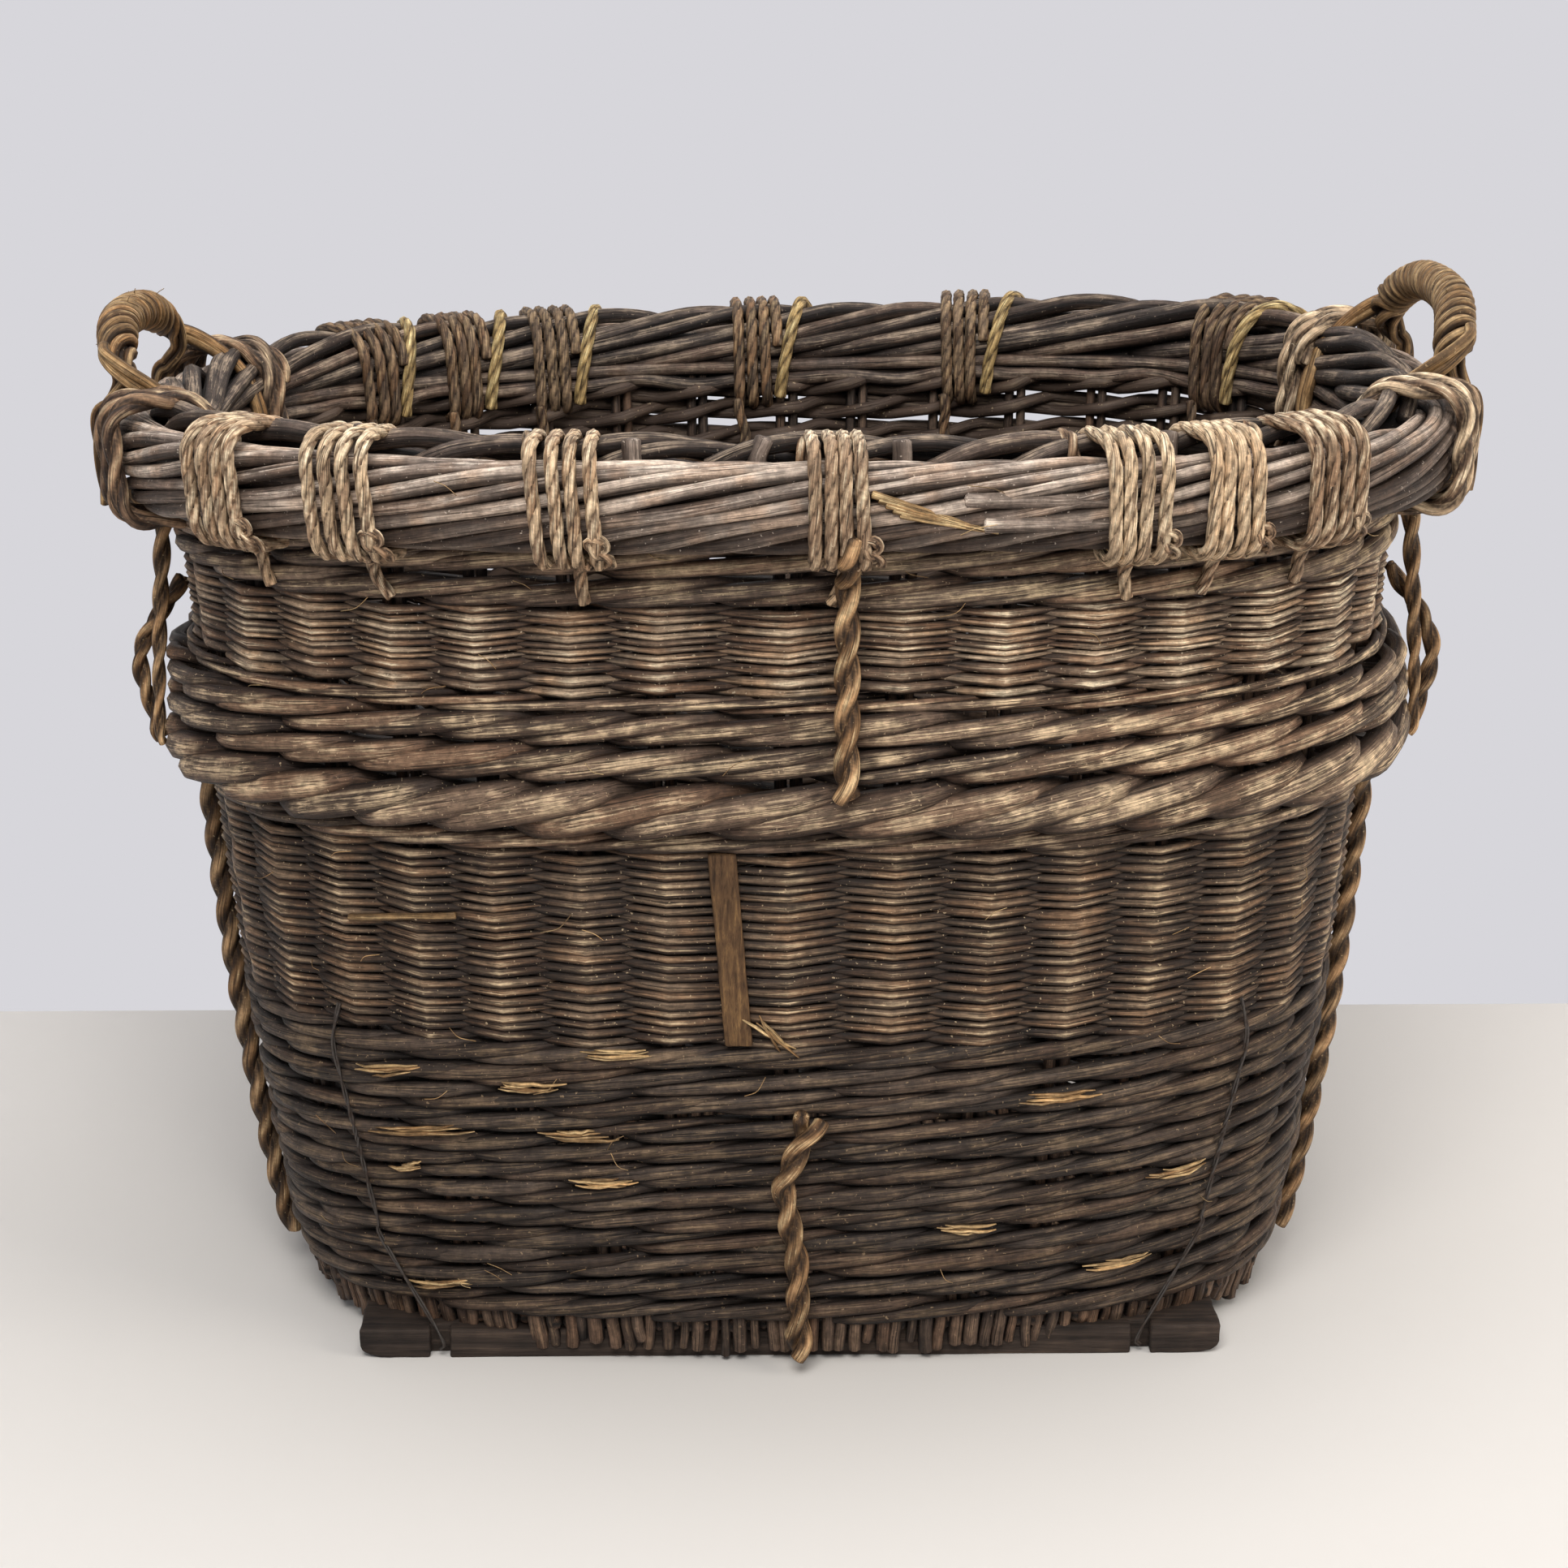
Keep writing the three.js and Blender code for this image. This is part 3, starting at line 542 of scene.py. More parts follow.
def new_material(name, specular=0.3):
    material = bpy.data.materials.new(name)
    material.use_nodes = True
    material.node_tree.nodes.clear()
    sh = Shader(material.node_tree)
    surface = sh.node("ShaderNodeBsdfPrincipled")
    surface.inputs["Specular IOR Level"].default_value = specular
    sh.feed(sh.node("ShaderNodeOutputMaterial").inputs["Surface"], surface.outputs[0])
    return material, sh, surface.inputs


def willow(name, colours, wear, dust=0.5, inside=0.0, warmth=0.7, bump=0.9):
    """One kind of willow, by the colours of its crevices (dirt and painted shade), bark, wood and pale wear.
    """
    material, sh, surface = new_material(name)
    rod = sh.node("ShaderNodeGroup", node_tree=WILLOW)
    for socket, value in zip(rod.inputs, (*map(colour, colours.split()), wear, warmth, dust, inside)):
        socket.default_value = value
    sh.feed(surface["Base Color"], rod.outputs["Color"])
    sh.feed(surface["Roughness"], rod.outputs["Roughness"])
    sh.feed(surface["Normal"], sh.bump(rod.outputs["Height"], bump))
    return material


rim_willow = willow("grey weathered willow", "32261f 78695f b09e8f ead9c8", 0.95, 0.4, 0.9, 0.4)
panel_willow = willow("brown weathered willow", "180e0b 6a5443 a38c74 ecd8b8", 1.0, 0.4, 0.85, 0.5)
# the lower panel's willow is darker than the upper panel's: dirt, and painted shade low on the wall
lower_willow = willow("brown willow of the lower panel", "130b08 45362b 735e4b dcc29d", 0.9, 0.5, 0.85, 0.55)
wale_willow = willow("dark weathered willow", "120d0b 2a221e 453931 957d61", 0.42, 0.7, 0.85)
middle_willow = willow("streaked weathered willow", "1a120e 3d2f27 6a5546 dabf9b", 0.84, 0.5, 0.85, 0.55)
top_willow = willow("upper weathered willow", "19110e 4f4037 7b6757 c9b18e", 0.75, 0.5, 0.85, 0.55)
stake_willow = willow("stake willow", "150e0c 3a2e27 5c4a3d 8a7258", 0.3, 0.3)
border_willow = willow("dark border willow", "120c0a 302723 53463f a8947f", 0.65, 0.4, warmth=0.5)
lashing_willow = willow("tan twisted willow", "24150d 8b7058 bda283 f6e3c2", 0.9, 0.3, warmth=0.3)
back_lashing_willow = willow("dull twisted willow", "170f0b 4a3a2e 715c48 b59a74", 0.55, 0.3)
wrap_willow = willow("grey twisted willow", "1f1612 5f4c3e 8d755f d6be9a", 0.8, 0.3, warmth=0.5)
golden_willow = willow("golden willow", "22140a 523d28 846541 c8a97c", 0.62, 0.35, warmth=0.4)
yellow_willow = willow("yellow twisted willow", "22150a 6b5632 a58a5b e2cf9b", 0.7, 0.35, warmth=0.1)
strap_willow = willow("ochre willow", "20130a 785a3c ac8a65 e4c99c", 0.8, 0.35, warmth=0.25)
torn_willow = willow("torn willow", "342114 7c603f b49468 e4c896", 0.8, 0.2, warmth=0.4, bump=1.0)
peg_willow = willow("peg willow", "130e0c 3d312a 645042 9b8064", 0.5, 0.5, warmth=0.5)


# Woven walls
def woven_panel(node, bottom, top, rows, seed, material, painted_side_light=0.0):
    """A plain weave: each rod goes before one stake and behind the next, with a kink at each."""
    rods = Rods(node + "_rods", 6, seed, painted_side_light)
    rng = rods.rng
    height = top - bottom
    rows = np.asarray(rows, float)
    rows = rows * 2 * height / rows.sum()
    s = (np.arange(STAKES)[:, None] + np.array([0, 0.2, 0.5, 0.8])).ravel()
    place = place_at_stake(s)
    sag = drift(rng, place, 1.2) + drift(rng, place, 0.5, (17, 23, 31))
    z = bottom
    for i, row in enumerate(rows):
        middle = z + row / 4
        z += row / 2
        share = (middle - bottom) / height
        # 1 before a stake, and -1 behind one
        sway = np.abs(1 - (s + i) % 2) * 2 - 1
        crest = np.abs(sway)
        radius = row / 2 * (1.15 + drift(rng, place, 0.1)) * lerp(0.74, 1, crest)
        lift = sag * math.sin(math.pi * share) + drift(rng, place, 0.35) - 1.7 * sway
        depths = [PANEL_INSIDE + row / 2, PANEL_MIDDLE, PANEL_PROUD - row / 2]
        outside = np.interp(sway, [-1, 0, 1], depths) + drift(rng, place, 0.5)
        tint = rng.random() + drift(rng, place, 0.25)
        # wear on the crests, and painted shade where rows cross and where a rod passes behind a stake
        worn = lerp(0.5, 1, crest) * lerp(0.7, 1, (sway + 1) / 2)
        level = middle + lift
        rods.lay(place, level, outside, radius, closed=True, worn=worn, tint=tint, inner=None, sharp=2.2)
    rods.piece(material, "brown_willow", node)


def wale(rods, bottom, thickness, proud, behind, phase, bulge=False, uneven=1.0, wear=1.0):
    """A course of three rods: each goes before two stakes and behind one, and climbs over its fellows.

    The stakes don't divide by three, so each rod goes on as the next, and three rounds close the course."""
    rng = rods.rng
    steps = 7  # points from stake to stake
    s = np.arange(3 * STAKES * steps) / steps
    place = place_at_stake(s)
    u = (s - phase + 0.5 + drift(rng, place / 3, 0.1)) % 3 - 0.5
    front = proud - thickness / 2
    near = front - 0.5 * thickness
    knots_u = [-0.5, -0.28, -0.1, 0.5, 1.1, 1.28, 1.5, 2, 2.5]
    knots_out = [near, front - 1.6, front, front + 0.4, front, front - 1.6, near, behind, near]
    knots_z = [0.32, 0.45, 0.58, 1.0, 1.42, 1.55, 1.68, 1.0, 0.32]
    # each length in view is a rod of its own thickness and colour
    each = np.floor((s - phase + 1) / 3).astype(int) % STAKES
    size = 1.2 + uneven * (rng.normal(0, 0.07, STAKES)[each] + drift(rng, place / 3, 0.06))
    size = size * np.interp(u, [-0.5, 0, 1, 1.5, 2, 2.5], [0.78, 1, 1, 0.78, 0.9, 0.78])
    outside = np.interp(u, knots_u, knots_out) + drift(rng, place / 3, 0.6)
    climb = np.interp(u, knots_u, knots_z) + uneven * rng.normal(0, 0.09, STAKES)[each]
    z = bottom + thickness * climb + uneven * drift(rng, place / 3, 0.8)
    if bulge:
        share = np.clip((outside - STAKE_MIDDLE) / (front - STAKE_MIDDLE), 0, 1)
        outside = outside + end_bulge(place) * share
    # wear where it stands out before the stakes, and painted shade where it dips in under its fellows
    worn = wear * np.interp(u, [-0.5, -0.1, 1.1, 1.5, 2, 2.5], [0.5, 1, 1, 0.5, 0.9, 0.5])
    tint = rng.random(STAKES)[each]
    rods.lay(place, z, outside, thickness / 2 * size, closed=True, worn=worn, tint=tint, inner=None)


def lower_wale():
    rods = Rods("lower_wale_rods", 8, 21)
    each = (LOWER_PANEL - LOWER_WALE) / LOWER_COURSES
    for i in range(LOWER_COURSES):
        proud, step = rods.rng.normal(0.8, 0.5), rods.rng.integers(2)
        # the lower courses are darker: dirt, and painted shade near the floor
        wear = lerp(0.95, 1.12, i / LOWER_COURSES)
        bottom, phase = LOWER_WALE + i * each, (2 * i + step) % 3
        wale(rods, bottom, each / 2, proud, LOWER_WALE_INSIDE, phase, uneven=1.6, wear=wear)
    rods.piece(wale_willow, "dark_willow", "lower_wale")


def brown_wale(node, seed, painted_side_light, bottom, courses, apart, material):
    """The middle or the top wale. Courses that stand out bulge at the basket's ends."""
    rods = Rods(node + "_rods", 8, seed, painted_side_light)
    z = bottom
    for thickness, proud, phase in courses:
        wale(rods, z, thickness, proud, WALE_INSIDE, phase, bulge=proud > 5)
        z += 2 * thickness + apart
    rods.piece(material, "brown_willow", node)


def stakes():
    rods = Rods("stakes", 6, 24)
    for place in STAKE_PLACES:
        for beside in (-STAKE_APART, STAKE_APART):
            z = np.linspace(MAT + 6, RIM + 22, 12)
            at = place + (beside + drift(rods.rng, z / TOP, 0.8, (1, 2))) / GIRTH
            radius = STAKE_ROD / 2 * lerp(1.05, 0.85, z / TOP)
            rods.lay(at, z, STAKE_MIDDLE, radius, worn=0.8, inner=None)
    rods.piece(stake_willow, "dark_willow")


# The rim
def round_box(share, left, right, bottom, top, corners):
    """A way round a box with round corners, from inside over the top and back below: outside, height."""
    turn = np.linspace(0, math.pi / 2, 7)
    parts = []
    a, b, c, d = corners
    for x, z, start, corner in (
        (left + a, top - a, math.pi, a),
        (right - b, top - b, math.pi / 2, b),
        (right - c, bottom + c, 0, c),
        (left + d, bottom + d, -math.pi / 2, d),
    ):
        parts.append(np.stack([x + corner * np.cos(start - turn), z + corner * np.sin(start - turn)], 1))
    line = np.vstack([*parts, parts[0][:1]])
    run = run_of(line)
    at = (np.asarray(share) % 1) * run[-1]
    return np.interp(at, run, line[:, 0]), np.interp(at, run, line[:, 1])


def rim_bundle():
    """Long rods laid outside the wall's top, that turn slowly round each other as they go round."""
    # the rim's right end is painted darker, against the side lamp's light
    rods = Rods("rim_rods", 8, 31, -0.3)
    rng = rods.rng
    # nothing divides both the rods' places and their turns, so one line of many rounds makes all of them
    rounds = np.linspace(0, BUNDLE_RODS, 300 * BUNDLE_RODS, endpoint=False)
    wander = drift(rng, rounds / BUNDLE_RODS, 0.22, (7, 13, 29, 67, 131, 197))
    outside, z = round_box((BUNDLE_TURNS * rounds + wander) / BUNDLE_RODS, *BUNDLE_BOX, [BUNDLE_CORNER] * 4)
    each = np.floor(rounds * 2.3).astype(int)
    lengths = each.max() + 1

    def evened(values):
        return np.convolve(np.pad(values[each], 9, "wrap"), np.ones(19) / 19, "valid")

    radius = BUNDLE_ROD * evened(1 + rng.normal(0, 0.09, lengths))
    points, _ = wall(rounds, z, outside + evened(rng.normal(0, 0.5, lengths)))
    out = unit(points - wall(rounds, (RIM + TOP) / 2, BUNDLE_MIDDLE)[0])
    # the rods under the bundle lie in its shade
    worn = lerp(0.5, 0.84, np.clip((z - RIM - 4) / 24, 0, 1))
    tint = rng.random(lengths)[each] + drift(rng, rounds / BUNDLE_RODS, 0.3, (61, 113, 197, 331))
    rods.add(points, radius, out, closed=True, worn=worn, tint=np.clip(tint, 0, 1))
    place = np.linspace(0, 1, 320, endpoint=False)
    # cores inside the bundle, painted dark as they lie in its shade
    for z, outside in BUNDLE_CORES:
        rods.lay(place, z, outside, BUNDLE_CORE, closed=True, worn=0.2)
    # rods that end on the face, cut across
    for x0, z0, x1, z1 in CUT_RODS:
        x, z, outside = np.linspace((x0, z0, 32), (x1, z1, 28.5), 9).T
        rods.lay(place_at_x(x, -1, RIM), z, outside, 5.6, worn=[1.2] + [0.8] * 8, tint=0.3)
    # cut stubs of stakes behind the bundle
    for x in STUBS:
        place = place_at_x(x, -1, TOP) + rng.normal(0, 0.0008, 3)
        points, _ = wall(place, [590, 606, 618 + rng.normal(0, 1.5)], [9, 8, 6])
        rods.add(smooth_line(points, 3), 5.8, worn=0.85, tint=0.2, inner=0.35)
    rods.piece(rim_willow, "grey_willow", "rim_bundle")


def border():
    """Each stake's end bends along the rim, rides over the next ones and ends against the bundle."""
    rods = Rods("border_rods", 8, 32)
    rng = rods.rng
    for k in range(STAKES):
        # how worn it is, and its painted shade, runs along with the points, as a measure of its own
        stray = rng.normal(0, 1, 4) * (9, 1.4, 1.0, 0)
        line = smooth_line(np.array(BORDER_BEND) * (1, 1, 1, 60) + stray, 9)
        place = STAKE_PLACES[k] - line[:, 0] / GIRTH
        points, _ = wall(place, line[:, 1], line[:, 2])
        out = unit(points - wall(place, 588, -3)[0])
        taper = np.linspace(1.1, 0.9, len(line)) * (1 + rng.normal(0, 0.09))
        rods.add(points, BORDER_ROD * taper, out, worn=np.clip(line[:, 3] / 60, 0.2, 1.5))
    place = np.linspace(0, 1, 240, endpoint=False)
    # cores under the bent stakes, painted dark as they lie in shade
    for z, outside, radius in BORDER_CORES:
        rods.lay(place, z, outside, radius, closed=True, worn=0.2, inner=None)
    # level rods inside, under the bent stakes
    for z, outside in BORDER_LEVELS:
        rise = z + drift(rng, place, 1.3, (5, 9, 17, 29))
        points, out = wall(place, rise, outside + drift(rng, place, 0.9, (7, 11, 23)))
        tint = rng.random() + drift(rng, place, 0.3)
        radius = BORDER_LEVEL_ROD * (1 + drift(rng, place, 0.09, (11, 19, 31)))
        rods.add(points, radius, -out, closed=True, tint=tint)
    rods.piece(border_willow, "dark_willow", "border")


def twisted(rods, line, plies, rod, lay, pitch, spread=None, worn=1.0, turn=0.0, tint=None, sharp=1.8):
    """Rods twisted round each other along a line. Lay is how far each lies from the middle."""
    across, up = carried(line)
    run = run_of(line)
    pitch = np.broadcast_to(pitch, len(line))
    phase = np.concatenate([[0], np.cumsum(2 * math.pi * np.diff(run) / pitch[1:])]) + turn
    lay = np.broadcast_to(lay, len(line)) if spread is None else lay + spread
    for k in range(plies):
        angle = phase + 2 * math.pi * k / plies
        way = across * np.cos(angle)[:, None] + up * np.sin(angle)[:, None]
        shade = rods.rng.random() if tint is None else tint + rods.rng.normal(0, 0.1)
        points = line + way * np.asarray(lay)[:, None]
        rods.add(points, rod, way, worn=worn, tint=shade, sharp=sharp)


def advance(place):
    inner = RIM_INSIDE - LASHING_CLEAR - LASHING_ROD / 2
    ends, _ = wall(np.array([place - 1e-4, place + 1e-4]), RIM, inner)
    return LASHING_PITCH * 2e-4 / np.linalg.norm(ends[1] - ends[0])


def winding_line(place, turns, grow, pitch=1.0):
    """A line round the whole rim, that starts halfway up inside and ends below."""
    total = turns + 0.75
    count = int(total * 84)
    t = np.linspace(0, total, count)
    clear = LASHING_CLEAR + grow
    box = (RIM_INSIDE - clear, RIM_OUTSIDE + clear, RIM - clear, TOP + clear)
    outside, z = round_box(t, *box, (27, 19, 16, 14))
    at = place + (t - total / 2) * advance(place) * pitch
    return wall(at, z, outside)[0]


def beside(place, knots, along=0.0):
    """A smooth line near a place, through knots of along, up from the rim's foot, and outside."""
    along, z, outside = (np.asarray(knots, float) + (along, RIM, 0)).T
    return smooth_line(wall(place + along / GIRTH, z, outside)[0], 1.6)


def lashing(node, place, side, seed, material):
    """A withe wound round the rim, its tail, and in front a knot at the foot of its last turn."""
    rods = Rods(node + "_rods", 6, seed)
    rng = rods.rng
    line = winding_line(place, LASHING_TURNS, LASHING_ROD / 2)
    slack = np.linspace(0, 1, len(line))
    ends = wall(np.array([place - 1e-3, place + 1e-3]), RIM, 0)[0]
    slip = drift(rng, slack, 1.1, (1.7, 3.1, 4.3)) + rng.normal(0, 2) * (slack - 0.5)
    line = line + unit(ends[1] - ends[0]) * slip[:, None]
    twisted(rods, line, 3, 3.35, 0.95, rng.uniform(34, 46), sharp=1.2)
    edge = 1.9 * LASHING_PITCH
    hook = rng.uniform(-5, 6, 2)
    if side < 0:
        twisted(rods, beside(place, KNOT, edge), 2, 2.1, 1.2, 22)
        tail = np.array(FRONT_TAIL) + (edge, 0, 0)
        tail[-2:, 0] += hook[0] * np.array([0.6, 1.4])
    else:
        tail = np.array(BACK_TAIL)
        tail[-2:, 0] += hook
    twisted(rods, beside(place, tail), 3, 3.1, 1.0, 34)
    rods.piece(material, "tan_willow", node)


def golden_turns():
    """The back lashings' last turns are bright, lean to the right for a viewer in front and end outside."""
    rods = Rods("golden_turns", 6, 58)
    for share in BACK_LASHINGS:
        place = place_at_x(share * MOUTH_HALF_LENGTH, 1, RIM)
        twisted(rods, beside(place, GOLDEN_TURN), 3, 3.7, 1.1, 50, tint=0.75)
    rods.piece(yellow_willow, "yellow_willow")


def border_loops():
    """Single loops of willow over the border, beside some of the lashings."""
    rods = Rods("border_loops", 6, 59)
    for x in LOOPS:
        twisted(rods, beside(place_at_x(x, -1, TOP), LOOP), 2, 3.0, 1.5, 38)
    rods.piece(lashing_willow, "tan_willow")


def lashings():
    finishes = (lashing_willow, back_lashing_willow)
    for (face, side), shares, material in zip(FACES, (FRONT_LASHINGS, BACK_LASHINGS), finishes):
        for i, share in enumerate(shares):
            place = place_at_x(share * MOUTH_HALF_LENGTH, side, RIM)
            lashing(f"{face}_lashing_{i + 1}", place, side, 40 + i + 10 * side, material)
    for end, end_side in ENDS:
        for face, side in FACES:
            node = f"{end}_{face}_handle_wrap"
            rods = Rods(node + "_rods", 8, 60 + end_side + 3 * side)
            place = place_at_y(side * WRAP_Y, end_side, RIM)
            twisted(rods, winding_line(place, WRAP_TURNS, LASHING_ROD / 2 + 1.2, 1.25), 2, 4.0, 2.3, 58)
            rods.piece(wrap_willow if end == "left" else lashing_willow, "tan_willow", node)
    border_loops()
    golden_turns()


# Handles
def handle(end, side):
    """Four strands wound round a core. Its feet grow thin, step on the rim and hug its outside."""
    rods = Rods(f"{end}_handle_rods", 8, 70 + side)
    rng = rods.rng
    crown = TOP + HANDLE_RISE - HANDLE_ROPE / 2
    foot = RIM_OUTSIDE + HANDLE_FOOT / 2 - 0.5
    corner = (HANDLE_FOOT / 2 - RIM_ROUND * 0.7) * 0.7
    half = [
        (-HANDLE_SPREAD, RIM - 3, foot),
        (-HANDLE_SPREAD, TOP - RIM_ROUND, foot),
        (-HANDLE_SPREAD, TOP + corner, RIM_OUTSIDE + corner),
        (-HANDLE_SPREAD * 0.96, TOP + HANDLE_ROPE / 2, HANDLE_WAIST),
        (-HANDLE_SPREAD * 0.84, (TOP + 2 * crown) / 3, (HANDLE_WAIST + HANDLE_CROWN) / 2),
        (-HANDLE_SPREAD * 0.4, crown, HANDLE_CROWN),
    ]
    knots = half + [(-y, z, outside) for y, z, outside in reversed(half)]

    def through(knots, spacing):
        points = [wall(place_at_y(y, side, RIM), z, outside)[0] for y, z, outside in knots]
        return smooth_line(points, spacing)

    line = through(knots, 1.6)
    up = np.clip((line[:, 2] - TOP) / HANDLE_TAPER, 0, 1)
    up = up * up * (3 - 2 * up)
    thick, rod = lerp(HANDLE_FOOT, HANDLE_ROPE, up) / 2, lerp(2.8, 4.0, up)
    twisted(rods, line, 4, rod, thick - rod, lerp(130, 40, up), tint=0.5)
    # its core, painted dark as it lies in shade between the strands
    rods.add(line, thick - 1.7 * rod, worn=0.2, tint=0.3)
    # two golden rods cross the front foot and slip in over the rim
    for low in (0, 7.4):
        crossing = [
            (-93, 650, 37), (-104, 646 - low * 0.6, 36), (-114, 637 - low, 24), (-116, 627 - low, 10),
            (-113, 613 - low, -7), (-109, 598 - low, -17),
        ]
        rods.add(through(crossing, 3), 3.8, worn=1.1, tint=0.95)
    # two long rods leave the back foot and go down inside
    for apart in (0, 7.8):
        inward = [
            (94, 640 - apart * 0.3, 31), (103, 634 - apart * 0.6, 17), (110, 622 - apart * 0.4, 2),
            (113, 606, -13), (114 - apart, 586, -22), (115 - apart, 566, -24.5), (114 - apart, 545, -22),
        ]
        rods.add(through(inward, 4), 4.4, worn=0.9, tint=0.75 + apart * 0.02)
    # frayed bark on the crown
    for _ in range(CROWN_FIBRES):
        start = line[rng.integers(int(len(line) * 0.3), int(len(line) * 0.7))]
        way = unit(rng.normal(0, 1, 3) + (0, 0, 0.8))
        bend = rng.normal(0, 0.5, 3)
        tip = start + (way + bend * 0.25) * rng.uniform(15, 17)
        fibre = [start + way * 12.5, start + (way + bend * 0.1) * 14.5, tip]
        rods.add(smooth_line(fibre, 1), 0.25, tint=0.9)
    rods.piece(golden_willow, "yellow_willow", f"{end}_handle")


# Straps and wires on the wall
def wall_face(place, z):
    """How far the weave stands out at a height, for what lies on it."""
    thickness, proud, _ = np.array(MIDDLE_COURSES).T
    middle = np.interp(z, MIDDLE_WALE + 2 * (np.cumsum(thickness) - thickness / 2), proud) + end_bulge(place)
    bands = [z < LOWER_PANEL, z < MIDDLE_WALE, z < UPPER_PANEL, z < TOP_WALE]
    return np.select(bands, [0 * z, 0 * z - 2, middle, 0 * z - 2], 0 * z + 3)


def pressed(place, z, radius):
    """How far outside the wall a round strap's middle lies, rolling down its face."""
    outside = np.full(np.shape(z), -18.0)
    for share in np.linspace(-1, 1, 17):
        touching = wall_face(place, z + share * radius) + radius * math.sqrt(1 - share * share)
        outside = np.maximum(outside, touching)
    return outside + PRESSED


def pulled_tight(humps):
    """Where a line lies that is pulled tight over humps, at equal steps."""
    tight = humps.copy()
    for i in range(1, len(humps) - 1):
        before = np.arange(i)[:, None]
        after = np.arange(i + 1, len(humps))[None, :]
        rise = humps[before] + (humps[after] - humps[before]) * (i - before) / (after - before)
        tight[i] = max(humps[i], rise.max())
    return tight


def strap_line(place_at, top, bottom, thickness=STRAP_ROPE, bulge=0.0, foot=1.0, lead=()):
    z = np.linspace(top, bottom, int((top - bottom) / 2) + 2)
    place = place_at(z)
    outside = pulled_tight(pressed(place, z, thickness / 2))
    outside = outside + bulge * np.sin(np.linspace(0, math.pi, len(z))) ** 2
    # it grows thin towards its foot, and lies nearer there
    thin = thickness / 2 * (1 - foot) * np.linspace(0, 1, len(z)) ** 0.7
    line = wall(place, z, outside - thin)[0]
    if lead:
        first = [wall(place[0], height, proud)[0] for height, proud in lead]
        line = np.vstack([smooth_line([*first, line[0], line[3]], 2)[:-1], line[4:]])
    return even_line(line, 2.2)


def strap(node, line, seed, rod=5.2, lay=2.8, pitch=54, fork=(0, 0), foot=1.0, worn=1.0):
    """A pair of rods twisted together. Its cut ends may stand apart, and its foot may be thinner."""
    rods = Rods(node + "_rods", 8, seed)
    share = np.linspace(0, 1, len(line))
    spread = fork[0] * np.clip(1 - share * 9, 0, 1) + fork[1] * np.clip(1 - (1 - share) * 9, 0, 1)
    thin = lerp(1, foot, share**0.7)
    twisted(rods, line, 2, rod * thin, lay * thin, pitch, spread=spread, worn=worn)
    rods.piece(strap_willow, "yellow_willow", node)


def knotted(knots, start, end, side):
    """The way down a front or back wall, through knots of aside and height."""
    aside, heights = zip(*reversed(knots))
    return lambda z: place_at_x(end * (start + np.interp(z, heights, aside)), side, z)


def straps():
    seed = 80
    for face, side in FACES:
        straight = knotted(((UPPER_STRAP_X, 0),), 0, 1, side)
        upper = strap_line(straight, STRAP_TOP, UPPER_STRAP_FOOT + UPPER_STRAP_LIFT, lead=STRAP_LEAD)
        strap(f"{face}_upper_strap", upper, seed, fork=(0, 2.5))
        lower = strap_line(knotted(LOWER_STRAP, 0, 1, side), LOWER_STRAP[0][1], LOWER_STRAP[-1][1])
        strap(f"{face}_lower_strap", lower, seed + 1, fork=(4, 4))
        seed += 2
    for end, side in ENDS:

        def down_end(aside):
            return lambda z: place_at_y(LOOP_Y + aside, side, z)

        # the straps at the ends are painted darker than the front ones, as they lie in shade
        upper = strap_line(down_end(-END_STRAP_ASIDE), STRAP_TOP, UPPER_STRAP_FOOT, foot=0.5, lead=STRAP_LEAD)
        strap(f"{end}_upper_strap", upper, seed, foot=0.5, worn=0.85)
        loop = strap_line(down_end(0), LOOP_TOP, LOOP_FOOT, LOOP_ROPE, LOOP_BULGE)
        strap(f"{end}_strap_loop", loop, seed + 1, 3.7, 2.2, 44, worn=0.85)
        lower = strap_line(down_end(END_STRAP_ASIDE), *LOW_END_STRAP)
        strap(f"{end}_lower_strap", lower, seed + 2, worn=0.8)
        seed += 3


def wires(material):
    for face, side in FACES:
        for end, end_side in ENDS:
            place_at = knotted(WIRE_KNOTS, NOTCH_X, end_side, side)
            line = strap_line(place_at, WIRE_KNOTS[0][1], WIRE_KNOTS[-1][1], WIRE_BODY)
            x, y = end_side * NOTCH_X, side * (RUNNER_OUTER - WIRE_BODY)
            line = smooth_line([*line[::6], (x, y, 15), (x, y, 5)], 2.0)
            node = f"{face}_{end}_wire"
            rods = Rods(node + "_pair", 6, 90 + side + 3 * end_side)
            middle = np.clip(1 - np.abs(line[:, 2] - 150) / 70, 0, 1)
            twisted(rods, line, 2, WIRE, 0.8, lerp(90, 9, middle))
            rods.piece(material, "iron_wire", node)


CROWN_FIBRES, LOOSE_FIBRES, FIBRE = 12, 46, 0.28
# torn bark on the front, from x and z to x and z
SPLINTERS = (
    (-131, 226, -88, 227), (-180, 201, -147, 202), (-274, 201, -234, 208), (-264, 159, -207, 168),
    (-153, 168, -115, 169), (-253, 135, -231, 139), (-136, 135, -102, 136), (-244, 48, -206, 55),
    (148, 192, 186, 193), (232, 128, 262, 131), (96, 101, 127, 100), (196, 66, 231, 68), (-26, 252, -3, 227),
)


